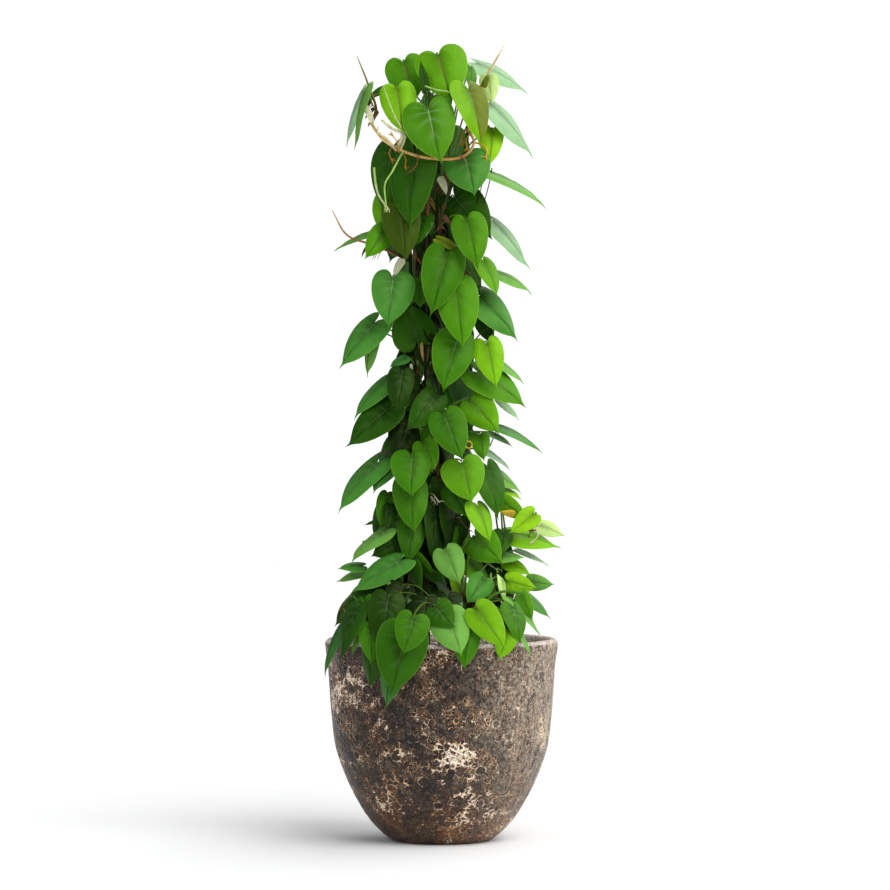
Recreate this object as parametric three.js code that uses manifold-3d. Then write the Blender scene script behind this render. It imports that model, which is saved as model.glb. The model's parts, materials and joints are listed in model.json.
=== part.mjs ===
import * as THREE from 'three';
import { mergeVertices } from 'three/addons/utils/BufferGeometryUtils.js';
import Module from 'manifold-3d';

const wasm = await Module();
wasm.setup();

// Pot and soil, in millimetres
const POT_HEIGHT = 346;
const POT_FOOT_RADIUS = 85;
const POT_RIM_RADIUS = 200;
const POT_WALL = 18;
const POT_FLOOR = 24;
const POT_SIDES = 32;
const SOIL_BELOW_RIM = 24;
const SOIL_MOUND = 7;
const CLEARANCE = 0.3;

// Stake and stems
const STAKE_X = -25;
const STAKE_RADIUS = 5.5;
const STAKE_FOOT = 60;
const STAKE_TOP = 1100;
const STEM_RADIUS = 3.6;
const SHOOT_RADIUS = 2.6;
const SPIKE_RADIUS = 3.2;
const SPIKE_TIP_RADIUS = 0.7;
const STEM_FOOT = 262;
const HOLE_FOOT_GAP = 2;
const HOLE_CLEARANCE = 0.6;

// Leaf blades and petioles
const BLADE_THICKNESS = 0.9;
const BLADE_RATIO = 0.74;
const FULL_FACE = 0.84;
const ROLL_MARGIN = 20;
const BLADE_ARCH = 0.05;
const BLADE_FOLD = 0.08;
const MIDRIB_STEP = 0.4;
const LARGE_LEAF = 98;
const NOTCH_HALF = 1.3;
const PETIOLE_RADIUS = 1.5;
const PETIOLE_NECK = 8;
const PETIOLE_SETBACK = 5;
const PETIOLE_BULGE = 0.16;
const PETIOLE_RISE = 22;
const SHORT_PETIOLE = 52;
const PROBE_MARGIN = 0.7;
const SLIVER = 0.02;
const STEM_SAMPLES = 120;
const LOWEST_ROOT = 372;

// Where a crowded leaf may go: steps toward or away from the eye, and a lower or higher petiole root
const SHIFT_STEP = 4;
const MOST_FORWARD = 24;
const MOST_BACK = 84;
const ROOT_DROPS = [0, 26, -26, 60];

// The photograph's view: eye, picture centre and the real size of a pixel at the pot's axis
const EYE = new THREE.Vector3(6, -5900, 678);
const PICTURE_CENTRE = 445;
const PIXEL_SIZE = 1.72;

// Half outline of a blade from the notch to the tip: across in widths, along in lengths
const LARGE_OUTLINE = [[0.2, -0.2], [0.45, -0.06], [0.49, 0.24], [0.3, 0.6], [0.06, 0.87]];
const SMALL_OUTLINE = [[0.24, -0.19], [0.48, 0.02], [0.42, 0.38], [0.1, 0.82]];

// Colours
const POT_COLOUR = 0x6b5443;
const SOIL_COLOUR = 0x2b2119;
const STAKE_COLOUR = 0x1f1a14;
const FOLIAGE_COLOUR = 0x3f7d1f;

// A point seen at a pixel of the photograph, brought a given depth toward the eye
function photoPoint([px, py], depth) {
  const scale = (PIXEL_SIZE * (-EYE.y - depth)) / -EYE.y;
  return new THREE.Vector3(
    EYE.x + (px - PICTURE_CENTRE) * scale,
    -depth,
    EYE.z + (PICTURE_CENTRE - py) * scale,
  );
}

// A point round the stake: azimuth 0 faces the viewer, 90 the viewer's right
function around(radius, azimuth, z) {
  const angle = THREE.MathUtils.degToRad(azimuth);
  return new THREE.Vector3(STAKE_X + radius * Math.sin(angle), -radius * Math.cos(angle), z);
}

function seededRandom(seed) {
  let state = seed;
  return () => {
    state = (Math.imul(state, 1664525) + 1013904223) >>> 0;
    return state / 4294967296;
  };
}

// Closed solids
function solidOf(points, triangles) {
  const vertProperties = new Float32Array(points.flatMap((point) => point.toArray()));
  const triVerts = new Uint32Array(triangles.flat());
  return new wasm.Manifold(new wasm.Mesh({ numProp: 3, vertProperties, triVerts }));
}

function solidOfGeometry(geometry) {
  geometry.deleteAttribute('normal');
  geometry.deleteAttribute('uv');
  const merged = mergeVertices(geometry, 1e-4);
  const vertProperties = new Float32Array(merged.attributes.position.array);
  const triVerts = new Uint32Array(merged.index.array);
  return new wasm.Manifold(new wasm.Mesh({ numProp: 3, vertProperties, triVerts }));
}

function geometryOf(solid) {
  const mesh = solid.getMesh();
  const geometry = new THREE.BufferGeometry();
  geometry.setAttribute('position', new THREE.BufferAttribute(mesh.vertProperties, 3));
  geometry.setIndex(new THREE.BufferAttribute(mesh.triVerts, 1));
  geometry.computeVertexNormals();
  return geometry;
}

function turned(profile, sides) {
  const points = profile.map(([radius, z]) => new THREE.Vector2(radius, z));
  const geometry = new THREE.LatheGeometry(points, sides);
  geometry.rotateX(Math.PI / 2);
  return solidOfGeometry(geometry);
}

function rod(points, radius, sides, steps) {
  const outline = new THREE.Shape();
  for (let i = 0; i < sides; i += 1) {
    const angle = (2 * Math.PI * i) / sides;
    const corner = [radius * Math.cos(angle), radius * Math.sin(angle)];
    if (i === 0) outline.moveTo(...corner);
    else outline.lineTo(...corner);
  }
  const extrudePath = new THREE.CatmullRomCurve3(points);
  const geometry = new THREE.ExtrudeGeometry(outline, { steps, extrudePath, curveSegments: 1 });
  return solidOfGeometry(geometry);
}

// A three-sided or four-sided tube that narrows from ring to ring, for petioles and spikes.
// Where it grows out of an origin, its first ring halves the turn it takes there
function ringsAlong(path, radii, sides, side, origin = null) {
  const rings = [];
  let across = side.clone();
  path.forEach((point, i) => {
    const before = path[Math.max(i - 1, 0)];
    const after = path[Math.min(i + 1, path.length - 1)];
    const ahead = after.clone().sub(before).normalize();
    if (origin && i === 0) ahead.add(point.clone().sub(origin).normalize()).normalize();
    across = across.clone().addScaledVector(ahead, -across.dot(ahead)).normalize();
    const over = new THREE.Vector3().crossVectors(across, ahead);
    const ring = [];
    for (let k = 0; k < sides; k += 1) {
      const angle = (2 * Math.PI * k) / sides + Math.PI / 6;
      const corner = point.clone().addScaledVector(across, radii[i] * Math.cos(angle));
      ring.push(corner.addScaledVector(over, radii[i] * Math.sin(angle)));
    }
    rings.push(ring);
  });
  return rings;
}

function addTube(points, triangles, rings, sides) {
  const first = points.length;
  rings.forEach((ring) => points.push(...ring));
  for (let i = 0; i + 1 < rings.length; i += 1) {
    for (let k = 0; k < sides; k += 1) {
      const a = first + i * sides + k;
      const b = first + i * sides + ((k + 1) % sides);
      triangles.push([a, a + sides, b], [b, a + sides, b + sides]);
    }
  }
  const last = points.length - sides;
  for (let k = 1; k + 1 < sides; k += 1) triangles.push([last, last + k + 1, last + k]);
  return first;
}

function taperedRod(path, radii, sides) {
  const points = [];
  const triangles = [];
  const side = new THREE.Vector3(1, 0, 0.1);
  const first = addTube(points, triangles, ringsAlong(path, radii, sides, side), sides);
  for (let k = 1; k + 1 < sides; k += 1) triangles.push([first, first + k, first + k + 1]);
  return solidOf(points, triangles);
}

// Heart-shaped blade: a thin body of two like faces, with its petiole grown from the notch
function bladeOutline(leaf) {
  const half = leaf.length > LARGE_LEAF ? LARGE_OUTLINE : SMALL_OUTLINE;
  const notch = NOTCH_HALF / leaf.width;
  const left = half.map(([u, v]) => [-u, v]);
  const right = half.map(([u, v]) => [u, v]).reverse();
  return { half: half.length, points: [[-notch, 0], ...left, [0, 1], ...right, [notch, 0]] };
}

function bladePoint(leaf, u, v, offset) {
  const height = leaf.length * BLADE_ARCH * 4 * v * (1 - v) - leaf.width * BLADE_FOLD * Math.abs(u) * 2;
  return leaf.sinus
    .clone()
    .addScaledVector(leaf.along, v * leaf.length)
    .addScaledVector(leaf.across, u * leaf.width)
    .addScaledVector(leaf.normal, height + offset);
}

// One face of a blade: the lobes fan from the notch, the rest fans from a point on the midrib
function faceTriangles(half) {
  const tip = half + 1;
  const last = 2 * half + 2;
  const rib = last + 1;
  const lobeEnd = half === LARGE_OUTLINE.length ? 3 : 2;
  const triangles = [[0, rib, last], [0, lobeEnd, rib], [last, rib, last - lobeEnd]];
  for (let i = 1; i < lobeEnd; i += 1) {
    triangles.push([0, i, i + 1]);
    triangles.push([last, last - i - 1, last - i]);
  }
  for (let i = lobeEnd; i < tip; i += 1) {
    triangles.push([rib, i, i + 1]);
    triangles.push([rib, last - i - 1, last - i]);
  }
  return triangles;
}

function bladeShell(leaf, thickness) {
  const outline = bladeOutline(leaf);
  const flat = [...outline.points, [0, MIDRIB_STEP]];
  const count = flat.length;
  const top = flat.map(([u, v]) => bladePoint(leaf, u, v, thickness / 2));
  const under = flat.map(([u, v]) => bladePoint(leaf, u, v, -thickness / 2));
  const triangles = [];
  faceTriangles(outline.half).forEach(([a, b, c]) => {
    triangles.push([a, b, c], [a + count, c + count, b + count]);
  });
  const edge = outline.points.length;
  for (let i = 0; i + 1 < edge; i += 1) {
    triangles.push([i, i + count, i + 1], [i + 1, i + count, i + 1 + count]);
  }
  return { points: [...top, ...under], triangles, count, last: edge - 1 };
}

// A petiole's centre line: from just behind the notch to its root, raised in the middle when long
function petiolePath(leaf, root) {
  const neck = leaf.sinus.clone().addScaledVector(leaf.along, -PETIOLE_NECK);
  neck.addScaledVector(leaf.normal, -PETIOLE_SETBACK);
  const reach = neck.distanceTo(root);
  if (reach < SHORT_PETIOLE) return [neck, root];
  const middle = neck.clone().lerp(root, 0.5);
  middle.z += reach * PETIOLE_BULGE;
  return [neck, middle, root];
}

function leafBody(leaf) {
  const { points, triangles, count, last } = bladeShell(leaf, BLADE_THICKNESS);
  const radii = leaf.path.map((_, i) => PETIOLE_RADIUS * (0.85 + 0.2 * i));
  const rings = ringsAlong(leaf.path, radii, 3, leaf.across, leaf.sinus);
  const first = addTube(points, triangles, rings, 3);
  const [topLeft, topRight, underLeft, underRight] = [0, last, count, last + count];
  const [right, left, under] = [first, first + 1, first + 2];
  triangles.push([topLeft, topRight, right], [topLeft, right, left], [topRight, underRight, right]);
  triangles.push([underRight, under, right], [underRight, underLeft, under]);
  triangles.push([underLeft, left, under], [underLeft, topLeft, left]);
  return solidOf(points, triangles);
}

function bladeProbe(leaf) {
  const { points, triangles, count, last } = bladeShell(leaf, BLADE_THICKNESS + 2 * PROBE_MARGIN);
  triangles.push([last, last + count, 0], [0, last + count, count]);
  return solidOf(points, triangles);
}

function petioleProbe(leaf) {
  const last = leaf.path.length - 1;
  const end = leaf.path[last - 1].clone().lerp(leaf.path[last], 0.85);
  const path = [...leaf.path.slice(0, last), end];
  return taperedRod(path, path.map(() => PETIOLE_RADIUS + PROBE_MARGIN), 3);
}

// How far a blade is turned from the viewer: as narrow as it looks, but not past the side it grows on
function rollAngle(fullness, sinus) {
  if (fullness > FULL_FACE) return 0;
  const azimuth = THREE.MathUtils.radToDeg(Math.atan2(Math.abs(sinus.x - STAKE_X), -sinus.y));
  return Math.min(Math.acos(fullness), THREE.MathUtils.degToRad(azimuth + ROLL_MARGIN));
}

// The blade's own directions, from how it looks in the photograph
function leafFromPhoto(seen, shift) {
  const depth = seen.depth + shift;
  const sinus = photoPoint(seen.sinus, depth);
  const tip = photoPoint(seen.tip, depth + seen.lean);
  const along = tip.clone().sub(sinus);
  const length = along.length();
  along.normalize();
  const roll = rollAngle(seen.width / (length * BLADE_RATIO), sinus);
  const width = seen.width / Math.cos(roll);
  const outward = sinus.x > STAKE_X ? 1 : -1;
  const facing = EYE.clone().sub(sinus).normalize();
  facing.addScaledVector(along, -facing.dot(along)).normalize();
  const sideways = new THREE.Vector3().crossVectors(facing, along);
  const normal = facing.multiplyScalar(Math.cos(roll)).addScaledVector(sideways, Math.sin(roll) * outward);
  const across = new THREE.Vector3().crossVectors(normal, along);
  return { sinus, along, length, width, normal, across };
}

function leafFromRule(rule, shift) {
  const sinus = around(rule.radius + shift, rule.azimuth, rule.z);
  const lean = THREE.MathUtils.degToRad(rule.lean);
  const reach = rule.radius + shift + rule.length * Math.sin(lean);
  const tip = around(reach, rule.azimuth + rule.twist, rule.z - rule.length * Math.cos(lean));
  const along = tip.clone().sub(sinus);
  const length = along.length();
  along.normalize();
  const normal = around(1, rule.azimuth + rule.turn, 0).sub(around(0, 0, 0));
  normal.addScaledVector(along, -normal.dot(along)).normalize();
  const across = new THREE.Vector3().crossVectors(normal, along);
  return { sinus, along, length, width: rule.length * BLADE_RATIO, normal, across };
}

// A point of a stem read off the photograph
function seen(px, py, depth) {
  return photoPoint([px, py], depth);
}

// The straight lower run of a stem: its foot in the soil, the soil's top, and just above
function stemFoot(radius, azimuth) {
  return [STEM_FOOT, 338, LOWEST_ROOT].map((z) => around(radius, azimuth, z));
}

// Vines: a climbing stem, side shoots and new-leaf spikes, as points round the stake or in the photograph
const VINES = {
  vine_front: {
    stems: [[...stemFoot(42, 0), around(22, -8, 520), around(26, 6, 740),
      around(22, -4, 960), around(28, 5, 1130)]],
    shoots: [[around(30, 0, 408), around(80, 4, 422), around(150, 6, 400)]],
    spikes: [],
  },
  vine_front_left: {
    stems: [[...stemFoot(44, -48), around(26, -58, 560), around(24, -44, 800),
      around(27, -50, 1010), around(30, -28, 1170), seen(434, 96, 36)]],
    shoots: [[around(34, -50, 400), around(85, -44, 425), around(152, -38, 405)]],
    spikes: [],
  },
  vine_left: {
    stems: [[...stemFoot(46, -96), around(27, -104, 600), around(26, -92, 840),
      around(30, -98, 1040), around(36, -88, 1150)]],
    shoots: [[around(36, -96, 395), around(90, -84, 415), around(158, -70, 400)],
      [around(28, -98, 500), around(72, -86, 520), around(112, -82, 512)]],
    spikes: [[seen(412, 262, 4), seen(392, 252, 4), seen(370, 244, 6), seen(347, 235, 8), seen(332, 210, 8)]],
  },
  vine_back_left: {
    stems: [[...stemFoot(46, -140), around(26, -150, 600), around(28, -136, 860),
      around(26, -144, 1060), around(30, -130, 1215)]],
    shoots: [[around(36, -140, 400), around(90, -138, 425), around(152, -136, 405)]],
    spikes: [],
  },
  vine_back: {
    stems: [[...stemFoot(46, 180), around(26, 188, 600), around(28, 174, 860),
      around(26, 184, 1080), around(32, 172, 1285)]],
    shoots: [[around(36, 180, 400), around(90, 182, 425), around(152, 180, 405)]],
    spikes: [],
  },
  vine_back_right: {
    stems: [[...stemFoot(46, 140), around(26, 134, 600), around(28, 146, 860),
      around(26, 138, 1060), around(30, 128, 1225)]],
    shoots: [[around(36, 140, 400), around(90, 138, 425), around(152, 136, 405)]],
    spikes: [],
  },
  vine_right: {
    stems: [[...stemFoot(46, 96), around(26, 104, 600), around(27, 92, 840),
      around(26, 98, 1040), around(34, 84, 1160)]],
    shoots: [[around(36, 96, 395), around(90, 84, 415), around(158, 72, 400)],
      [around(28, 98, 480), around(95, 84, 525), seen(536, 530, 42)]],
    spikes: [],
  },
  vine_front_right: {
    stems: [[...stemFoot(44, 48), around(24, 56, 560), around(27, 44, 800),
      around(24, 50, 1010), seen(446, 200, 28), seen(463, 160, 32), seen(468, 128, 34), seen(466, 98, 30)]],
    shoots: [[around(34, 48, 400), around(85, 44, 425), around(152, 40, 405)],
      [seen(467, 130, 34), seen(474, 143, 52), seen(462, 157, 70), seen(422, 157, 82), seen(385, 141, 66),
        seen(370, 122, 56)]],
    spikes: [[seen(371, 124, 57), seen(376, 110, 54), seen(368, 84, 48), seen(357, 56, 40)],
      [seen(467, 106, 31), seen(478, 92, 30), seen(490, 70, 26), seen(504, 46, 20)]],
  },
};

// Leaves read off the photograph: vine, notch and tip pixels, apparent width and depth in millimetres
const HANG = 20;
const FRONT_VINES = { vine_left: -62, vine_front_left: -20, vine_front: 20, vine_front_right: 62 };

function sectorVine(sinus, depth) {
  const place = photoPoint(sinus, depth);
  const azimuth = THREE.MathUtils.radToDeg(Math.atan2(place.x - STAKE_X, -place.y));
  const found = Object.entries(FRONT_VINES).find(([, end]) => azimuth < end);
  return found ? found[0] : 'vine_right';
}

function seenLeaf(sinus, tip, width, depth, lean = HANG, vine = sectorVine(sinus, depth)) {
  return { vine, sinus, tip, width, depth, lean };
}

const LOOP = 'vine_front_right';
const SEEN_LEAVES = [
  // Crown
  seenLeaf([428, 109], [441, 166], 91, 100),
  seenLeaf([438, 56], [453, 105], 91, 62),
  seenLeaf([397, 90], [404, 137], 64, 72),
  seenLeaf([404, 63], [415, 105], 72, 34),
  seenLeaf([363, 92], [347, 148], 17, 30, 5, LOOP),
  seenLeaf([364, 95], [357, 151], 14, 62, 10, LOOP),
  seenLeaf([383, 88], [367, 101], 14, 22, 5, LOOP),
  seenLeaf([468, 90], [481, 147], 57, 72),
  seenLeaf([470, 68], [470, 92], 24, 20),
  seenLeaf([426, 88], [420, 59], 17, 84, -4),
  seenLeaf([488, 78], [492, 106], 34, 10),
  seenLeaf([478, 64], [528, 95], 30, 18, 5),
  seenLeaf([490, 104], [533, 160], 34, 14, 10),
  seenLeaf([492, 131], [489, 168], 43, 30),
  seenLeaf([465, 158], [476, 197], 81, 62),
  seenLeaf([489, 172], [547, 208], 12, 20, 5),
  // Shoulder
  seenLeaf([415, 155], [411, 232], 81, 68),
  seenLeaf([392, 150], [385, 215], 69, 46),
  seenLeaf([385, 195], [384, 238], 48, 26),
  seenLeaf([385, 232], [364, 260], 43, 30),
  seenLeaf([383, 228], [333, 252], 9, 4, 5),
  seenLeaf([400, 208], [407, 264], 67, 50),
  seenLeaf([467, 222], [479, 270], 62, 84),
  seenLeaf([455, 198], [494, 241], 77, 56),
  seenLeaf([446, 256], [431, 318], 74, 76),
  seenLeaf([440, 240], [466, 256], 17, 58, 5),
  seenLeaf([493, 222], [529, 272], 31, 10, 10),
  seenLeaf([484, 262], [497, 298], 34, 44),
  seenLeaf([498, 273], [533, 294], 17, 20, 5),
  seenLeaf([393, 279], [387, 329], 76, 46),
  // Middle
  seenLeaf([455, 288], [464, 351], 74, 84),
  seenLeaf([480, 297], [518, 342], 54, 34, 12),
  seenLeaf([417, 339], [402, 300], 77, 40, -12),
  seenLeaf([375, 323], [340, 370], 52, 20, 10),
  seenLeaf([374, 334], [368, 378], 26, 4, 10),
  seenLeaf([457, 340], [442, 393], 74, 68),
  seenLeaf([487, 345], [497, 389], 53, 60),
  seenLeaf([478, 373], [527, 408], 57, 34, 10),
  seenLeaf([386, 381], [353, 420], 31, 4, 10),
  seenLeaf([388, 409], [347, 450], 58, 34, 12),
  seenLeaf([402, 374], [397, 415], 48, 56),
  seenLeaf([405, 358], [389, 368], 17, 40, 5),
  seenLeaf([435, 398], [406, 432], 52, 64),
  seenLeaf([445, 417], [463, 462], 65, 82),
  seenLeaf([472, 403], [501, 434], 60, 58),
  seenLeaf([502, 427], [543, 453], 15, 12, 5),
  seenLeaf([500, 362], [524, 385], 14, 8, 5),
  seenLeaf([500, 400], [519, 421], 14, 4, 5),
  seenLeaf([490, 432], [513, 447], 12, 12, 5),
  seenLeaf([486, 450], [511, 470], 12, 8, 5),
  seenLeaf([408, 422], [396, 470], 65, 34),
  seenLeaf([398, 436], [380, 452], 24, 4, 5),
  seenLeaf([424, 444], [436, 472], 45, 50),
  seenLeaf([412, 457], [411, 499], 69, 76),
  seenLeaf([462, 464], [473, 505], 76, 76),
  seenLeaf([480, 436], [484, 462], 34, 44),
  seenLeaf([487, 468], [497, 521], 52, 50),
  seenLeaf([486, 470], [522, 493], 28, 20, 5),
  seenLeaf([503, 488], [522, 500], 14, 8, 5),
  seenLeaf([377, 463], [337, 514], 42, 20, 10),
  seenLeaf([390, 466], [372, 494], 31, 42),
  seenLeaf([409, 484], [414, 536], 62, 58),
  seenLeaf([453, 488], [468, 519], 48, 46),
  // Skirt
  seenLeaf([478, 507], [489, 544], 40, 78),
  seenLeaf([503, 503], [528, 520], 34, 34, 10),
  seenLeaf([533, 515], [509, 534], 38, 64, 10),
  seenLeaf([541, 526], [565, 537], 28, 26, 5),
  seenLeaf([511, 533], [561, 550], 36, 46, 10),
  seenLeaf([384, 531], [349, 563], 26, 12, 10),
  seenLeaf([379, 520], [364, 526], 8, 20, 5),
  seenLeaf([388, 497], [380, 529], 38, 30, 10),
  seenLeaf([391, 507], [385, 530], 28, 42),
  seenLeaf([412, 522], [408, 565], 50, 50),
  seenLeaf([435, 512], [432, 565], 36, 44),
  seenLeaf([450, 508], [447, 548], 34, 34),
  seenLeaf([462, 530], [452, 548], 24, 28),
  seenLeaf([400, 561], [351, 595], 45, 84, 15),
  seenLeaf([397, 543], [370, 557], 40, 46, 10),
  seenLeaf([362, 566], [337, 569], 19, 24, 5),
  seenLeaf([362, 572], [336, 583], 17, 6, 5),
  seenLeaf([446, 552], [461, 586], 53, 82),
  seenLeaf([458, 575], [460, 611], 31, 60),
  seenLeaf([412, 567], [423, 592], 28, 60),
  seenLeaf([411, 557], [437, 574], 30, 66),
  seenLeaf([430, 570], [448, 590], 24, 56),
  seenLeaf([432, 587], [448, 604], 24, 56),
  seenLeaf([372, 584], [344, 611], 31, 70, 12),
  seenLeaf([476, 538], [504, 564], 62, 58),
  seenLeaf([503, 533], [500, 557], 38, 36),
  seenLeaf([468, 562], [488, 590], 38, 44),
  seenLeaf([483, 580], [466, 605], 45, 84),
  seenLeaf([492, 590], [470, 604], 28, 62),
  seenLeaf([502, 580], [503, 604], 14, 70),
  seenLeaf([509, 582], [538, 589], 38, 56, 10),
  seenLeaf([530, 582], [555, 585], 30, 30, 5),
  seenLeaf([508, 562], [532, 576], 24, 34, 5),
  seenLeaf([520, 550], [549, 567], 9, 20, 5),
  seenLeaf([500, 557], [526, 558], 19, 50, 5),
  // Over the rim
  seenLeaf([413, 619], [403, 656], 58, 240, 6),
  seenLeaf([405, 634], [391, 697], 88, 216, 2),
  seenLeaf([388, 600], [380, 650], 62, 192, 12),
  seenLeaf([399, 645], [386, 711], 52, 194, -4),
  seenLeaf([364, 605], [371, 652], 34, 176, 14),
  seenLeaf([356, 610], [341, 663], 34, 152, 14),
  seenLeaf([340, 628], [324, 677], 17, 116, 10),
  seenLeaf([372, 628], [372, 666], 44, 172, 2),
  seenLeaf([373, 638], [372, 690], 44, 166, -2),
  seenLeaf([359, 634], [352, 657], 10, 158, 8),
  seenLeaf([436, 608], [455, 629], 52, 196, 12),
  seenLeaf([447, 616], [463, 657], 68, 200, 16),
  seenLeaf([467, 628], [464, 671], 50, 176, 10),
  seenLeaf([478, 612], [507, 650], 56, 186, 12),
  seenLeaf([507, 632], [499, 661], 41, 176, 6),
  seenLeaf([513, 608], [520, 645], 38, 160, 20),
  seenLeaf([522, 597], [533, 621], 28, 120, 10),
  seenLeaf([513, 601], [540, 637], 16, 128, 20),
  seenLeaf([525, 594], [550, 620], 21, 96, 8),
  seenLeaf([518, 630], [531, 657], 9, 160, 10),
];

// Leaves of the far side, at even steps up a vine, turned and tilted by a seeded draw
const RULE_VINES = [
  { vine: 'vine_back_left', azimuth: -150, low: 395, top: 1225, step: 60, reach: [0.46, 0.66] },
  { vine: 'vine_back', azimuth: 180, low: 413, top: 1335, step: 58, reach: [0.62, 0.95] },
  { vine: 'vine_back_right', azimuth: 138, low: 431, top: 1265, step: 60, reach: [0.62, 0.95] },
  { vine: 'vine_left', azimuth: -132, low: 420, top: 1060, step: 140, reach: [0.34, 0.4] },
  { vine: 'vine_right', azimuth: 104, low: 450, top: 1060, step: 140, reach: [0.6, 0.72] },
];
const RULE_SEED = 41;
const RULE_SPREAD = 18;
const RIM_BAND = 460;
const ENVELOPE = [[395, 168], [470, 118], [700, 92], [950, 88], [1150, 94], [1270, 74], [1340, 46]];

function envelopeRadius(z) {
  const above = Math.max(1, ENVELOPE.findIndex(([height]) => height >= z));
  const [lowZ, lowRadius] = ENVELOPE[above - 1];
  const [highZ, highRadius] = ENVELOPE[above];
  return lowRadius + ((highRadius - lowRadius) * (z - lowZ)) / (highZ - lowZ);
}

function ruleLeaves() {
  const random = seededRandom(RULE_SEED);
  const spread = (size) => (random() * 2 - 1) * size;
  return RULE_VINES.flatMap(({ vine, azimuth, low, top, step, reach }, order) => {
    const count = Math.ceil((top - low) / step);
    return Array.from({ length: count }, (_, i) => {
      const z = low + i * step;
      const side = (i + order) % 2;
      const rim = z < RIM_BAND ? 1 : 0;
      return {
        vine,
        z: z + spread(8),
        azimuth: azimuth + (side * 2 - 1) * RULE_SPREAD + spread(9),
        radius: envelopeRadius(z) * reach[side] + spread(8) + rim * 22,
        length: 84 + spread(22),
        lean: 24 + rim * 2 + spread(10),
        twist: spread(8),
        turn: spread(38),
      };
    });
  });
}

function nearestPoint(points, wanted) {
  let best = points[0];
  points.forEach((point) => {
    if (point.distanceTo(wanted) < best.distanceTo(wanted)) best = point;
  });
  return best;
}

// The nearest free place on a vine's stems for a petiole to grow from
function petioleRoot(vine, sinus, drop) {
  const wanted = sinus.clone();
  wanted.z -= PETIOLE_RISE + drop;
  return nearestPoint(vine.nodes, wanted);
}

function samplesOf(points, start, end) {
  return new THREE.CatmullRomCurve3(points).getPoints(STEM_SAMPLES).slice(start, end);
}

// A vine without its leaves, and the points of its stems where petioles may root
function vineBody(plan) {
  const nodes = plan.stems.flatMap((points) => samplesOf(points, 20, 118)).filter(({ z }) => z > LOWEST_ROOT);
  const fromStem = (points) => [nearestPoint(nodes, points[0]), ...points.slice(1)];
  const shoots = plan.shoots.map(fromStem);
  const spikes = plan.spikes.map(fromStem);
  const solids = [
    ...plan.stems.map((points) => rod(points, STEM_RADIUS, 5, 2 * points.length)),
    ...shoots.map((points) => rod(points, SHOOT_RADIUS, 5, 2 * points.length)),
    ...spikes.map(spikeSolid),
  ];
  nodes.push(...shoots.flatMap((points) => samplesOf(points, 20, 116)));
  nodes.push(...spikes.flatMap((points) => samplesOf(points, 20, 80)));
  return { body: solids.reduce((sum, solid) => sum.add(solid)), nodes, leaves: [] };
}

// A new-leaf spike: a rolled sheath of even width that comes to a point
function spikeSolid(points) {
  const path = new THREE.CatmullRomCurve3(points).getPoints(2 * points.length - 2);
  const radii = path.map((_, i) => (i < path.length - 1 ? SPIKE_RADIUS : SPIKE_TIP_RADIUS));
  return taperedRod(path, radii, 4);
}

// Shifts in the order they are tried: none, back, forward, further back, further forward
function shiftOrder() {
  const order = [0];
  for (let shift = SHIFT_STEP; shift <= MOST_BACK; shift += SHIFT_STEP) {
    order.push(-shift);
    if (shift <= MOST_FORWARD) order.push(shift);
  }
  return order;
}

function boxOf(solid) {
  const { min, max } = solid.boundingBox();
  return new THREE.Box3(new THREE.Vector3(...min), new THREE.Vector3(...max));
}

function touches(probe, box, obstacle) {
  if (!box.intersectsBox(obstacle.box)) return false;
  const shared = probe.intersect(obstacle.solid);
  const meets = !shared.isEmpty();
  shared.delete();
  return meets;
}

function obstacleOf(vine, kind, solid) {
  return { vine, kind, solid, box: boxOf(solid) };
}

// A leaf may join its own vine's stems; when fusing is allowed it may also meet its vine's petioles
function isClear(leaf, fusing, obstacles) {
  const blade = bladeProbe(leaf);
  const stalk = petioleProbe(leaf);
  const bladeBox = boxOf(blade);
  const stalkBox = boxOf(stalk);
  const blocked = obstacles.some((obstacle) => {
    const own = obstacle.vine === leaf.vine;
    const meets = fusing && own && obstacle.kind === 'petiole';
    if (!meets && touches(blade, bladeBox, obstacle)) return true;
    const joins = own && (fusing || obstacle.kind !== 'blade');
    return !joins && touches(stalk, stalkBox, obstacle);
  });
  blade.delete();
  stalk.delete();
  return !blocked;
}

// A vine and its neighbours on both sides, in the order a leaf tries them
function carriers(name) {
  const names = Object.keys(VINES);
  const place = names.indexOf(name);
  return [0, 1, -1].map((step) => names[(place + step + names.length) % names.length]);
}

function placeLeaf(spec, make, vines, obstacles) {
  const places = carriers(spec.vine).flatMap((vine) => ROOT_DROPS.map((drop) => ({ vine, drop })));
  const tries = [false, true].flatMap((fusing) => shiftOrder().map((shift) => ({ fusing, shift })));
  for (const { fusing, shift } of tries) {
    for (const { vine, drop } of places) {
      const leaf = { ...make(spec, shift), vine };
      leaf.path = petiolePath(leaf, petioleRoot(vines[vine], leaf.sinus, drop));
      if (isClear(leaf, fusing, obstacles)) return leaf;
    }
  }
  return null;
}

// Pot: an egg shape cut off at a rounded rim, hollow down to its floor
const POT_PROFILE = [[117, 31], [145, 76], [168, 122], [182, 164], [190, 223], [196, 305]];

function potSolid() {
  const rim = [[POT_RIM_RADIUS, POT_HEIGHT - 12], [POT_RIM_RADIUS - 2, POT_HEIGHT - 3],
    [POT_RIM_RADIUS - 7, POT_HEIGHT], [POT_RIM_RADIUS - 12, POT_HEIGHT - 1],
    [POT_RIM_RADIUS - POT_WALL, POT_HEIGHT - 8]];
  const inside = innerProfile(0);
  return turned([[0, 0], [POT_FOOT_RADIUS, 0], ...POT_PROFILE, ...rim, ...inside], POT_SIDES);
}

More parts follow.
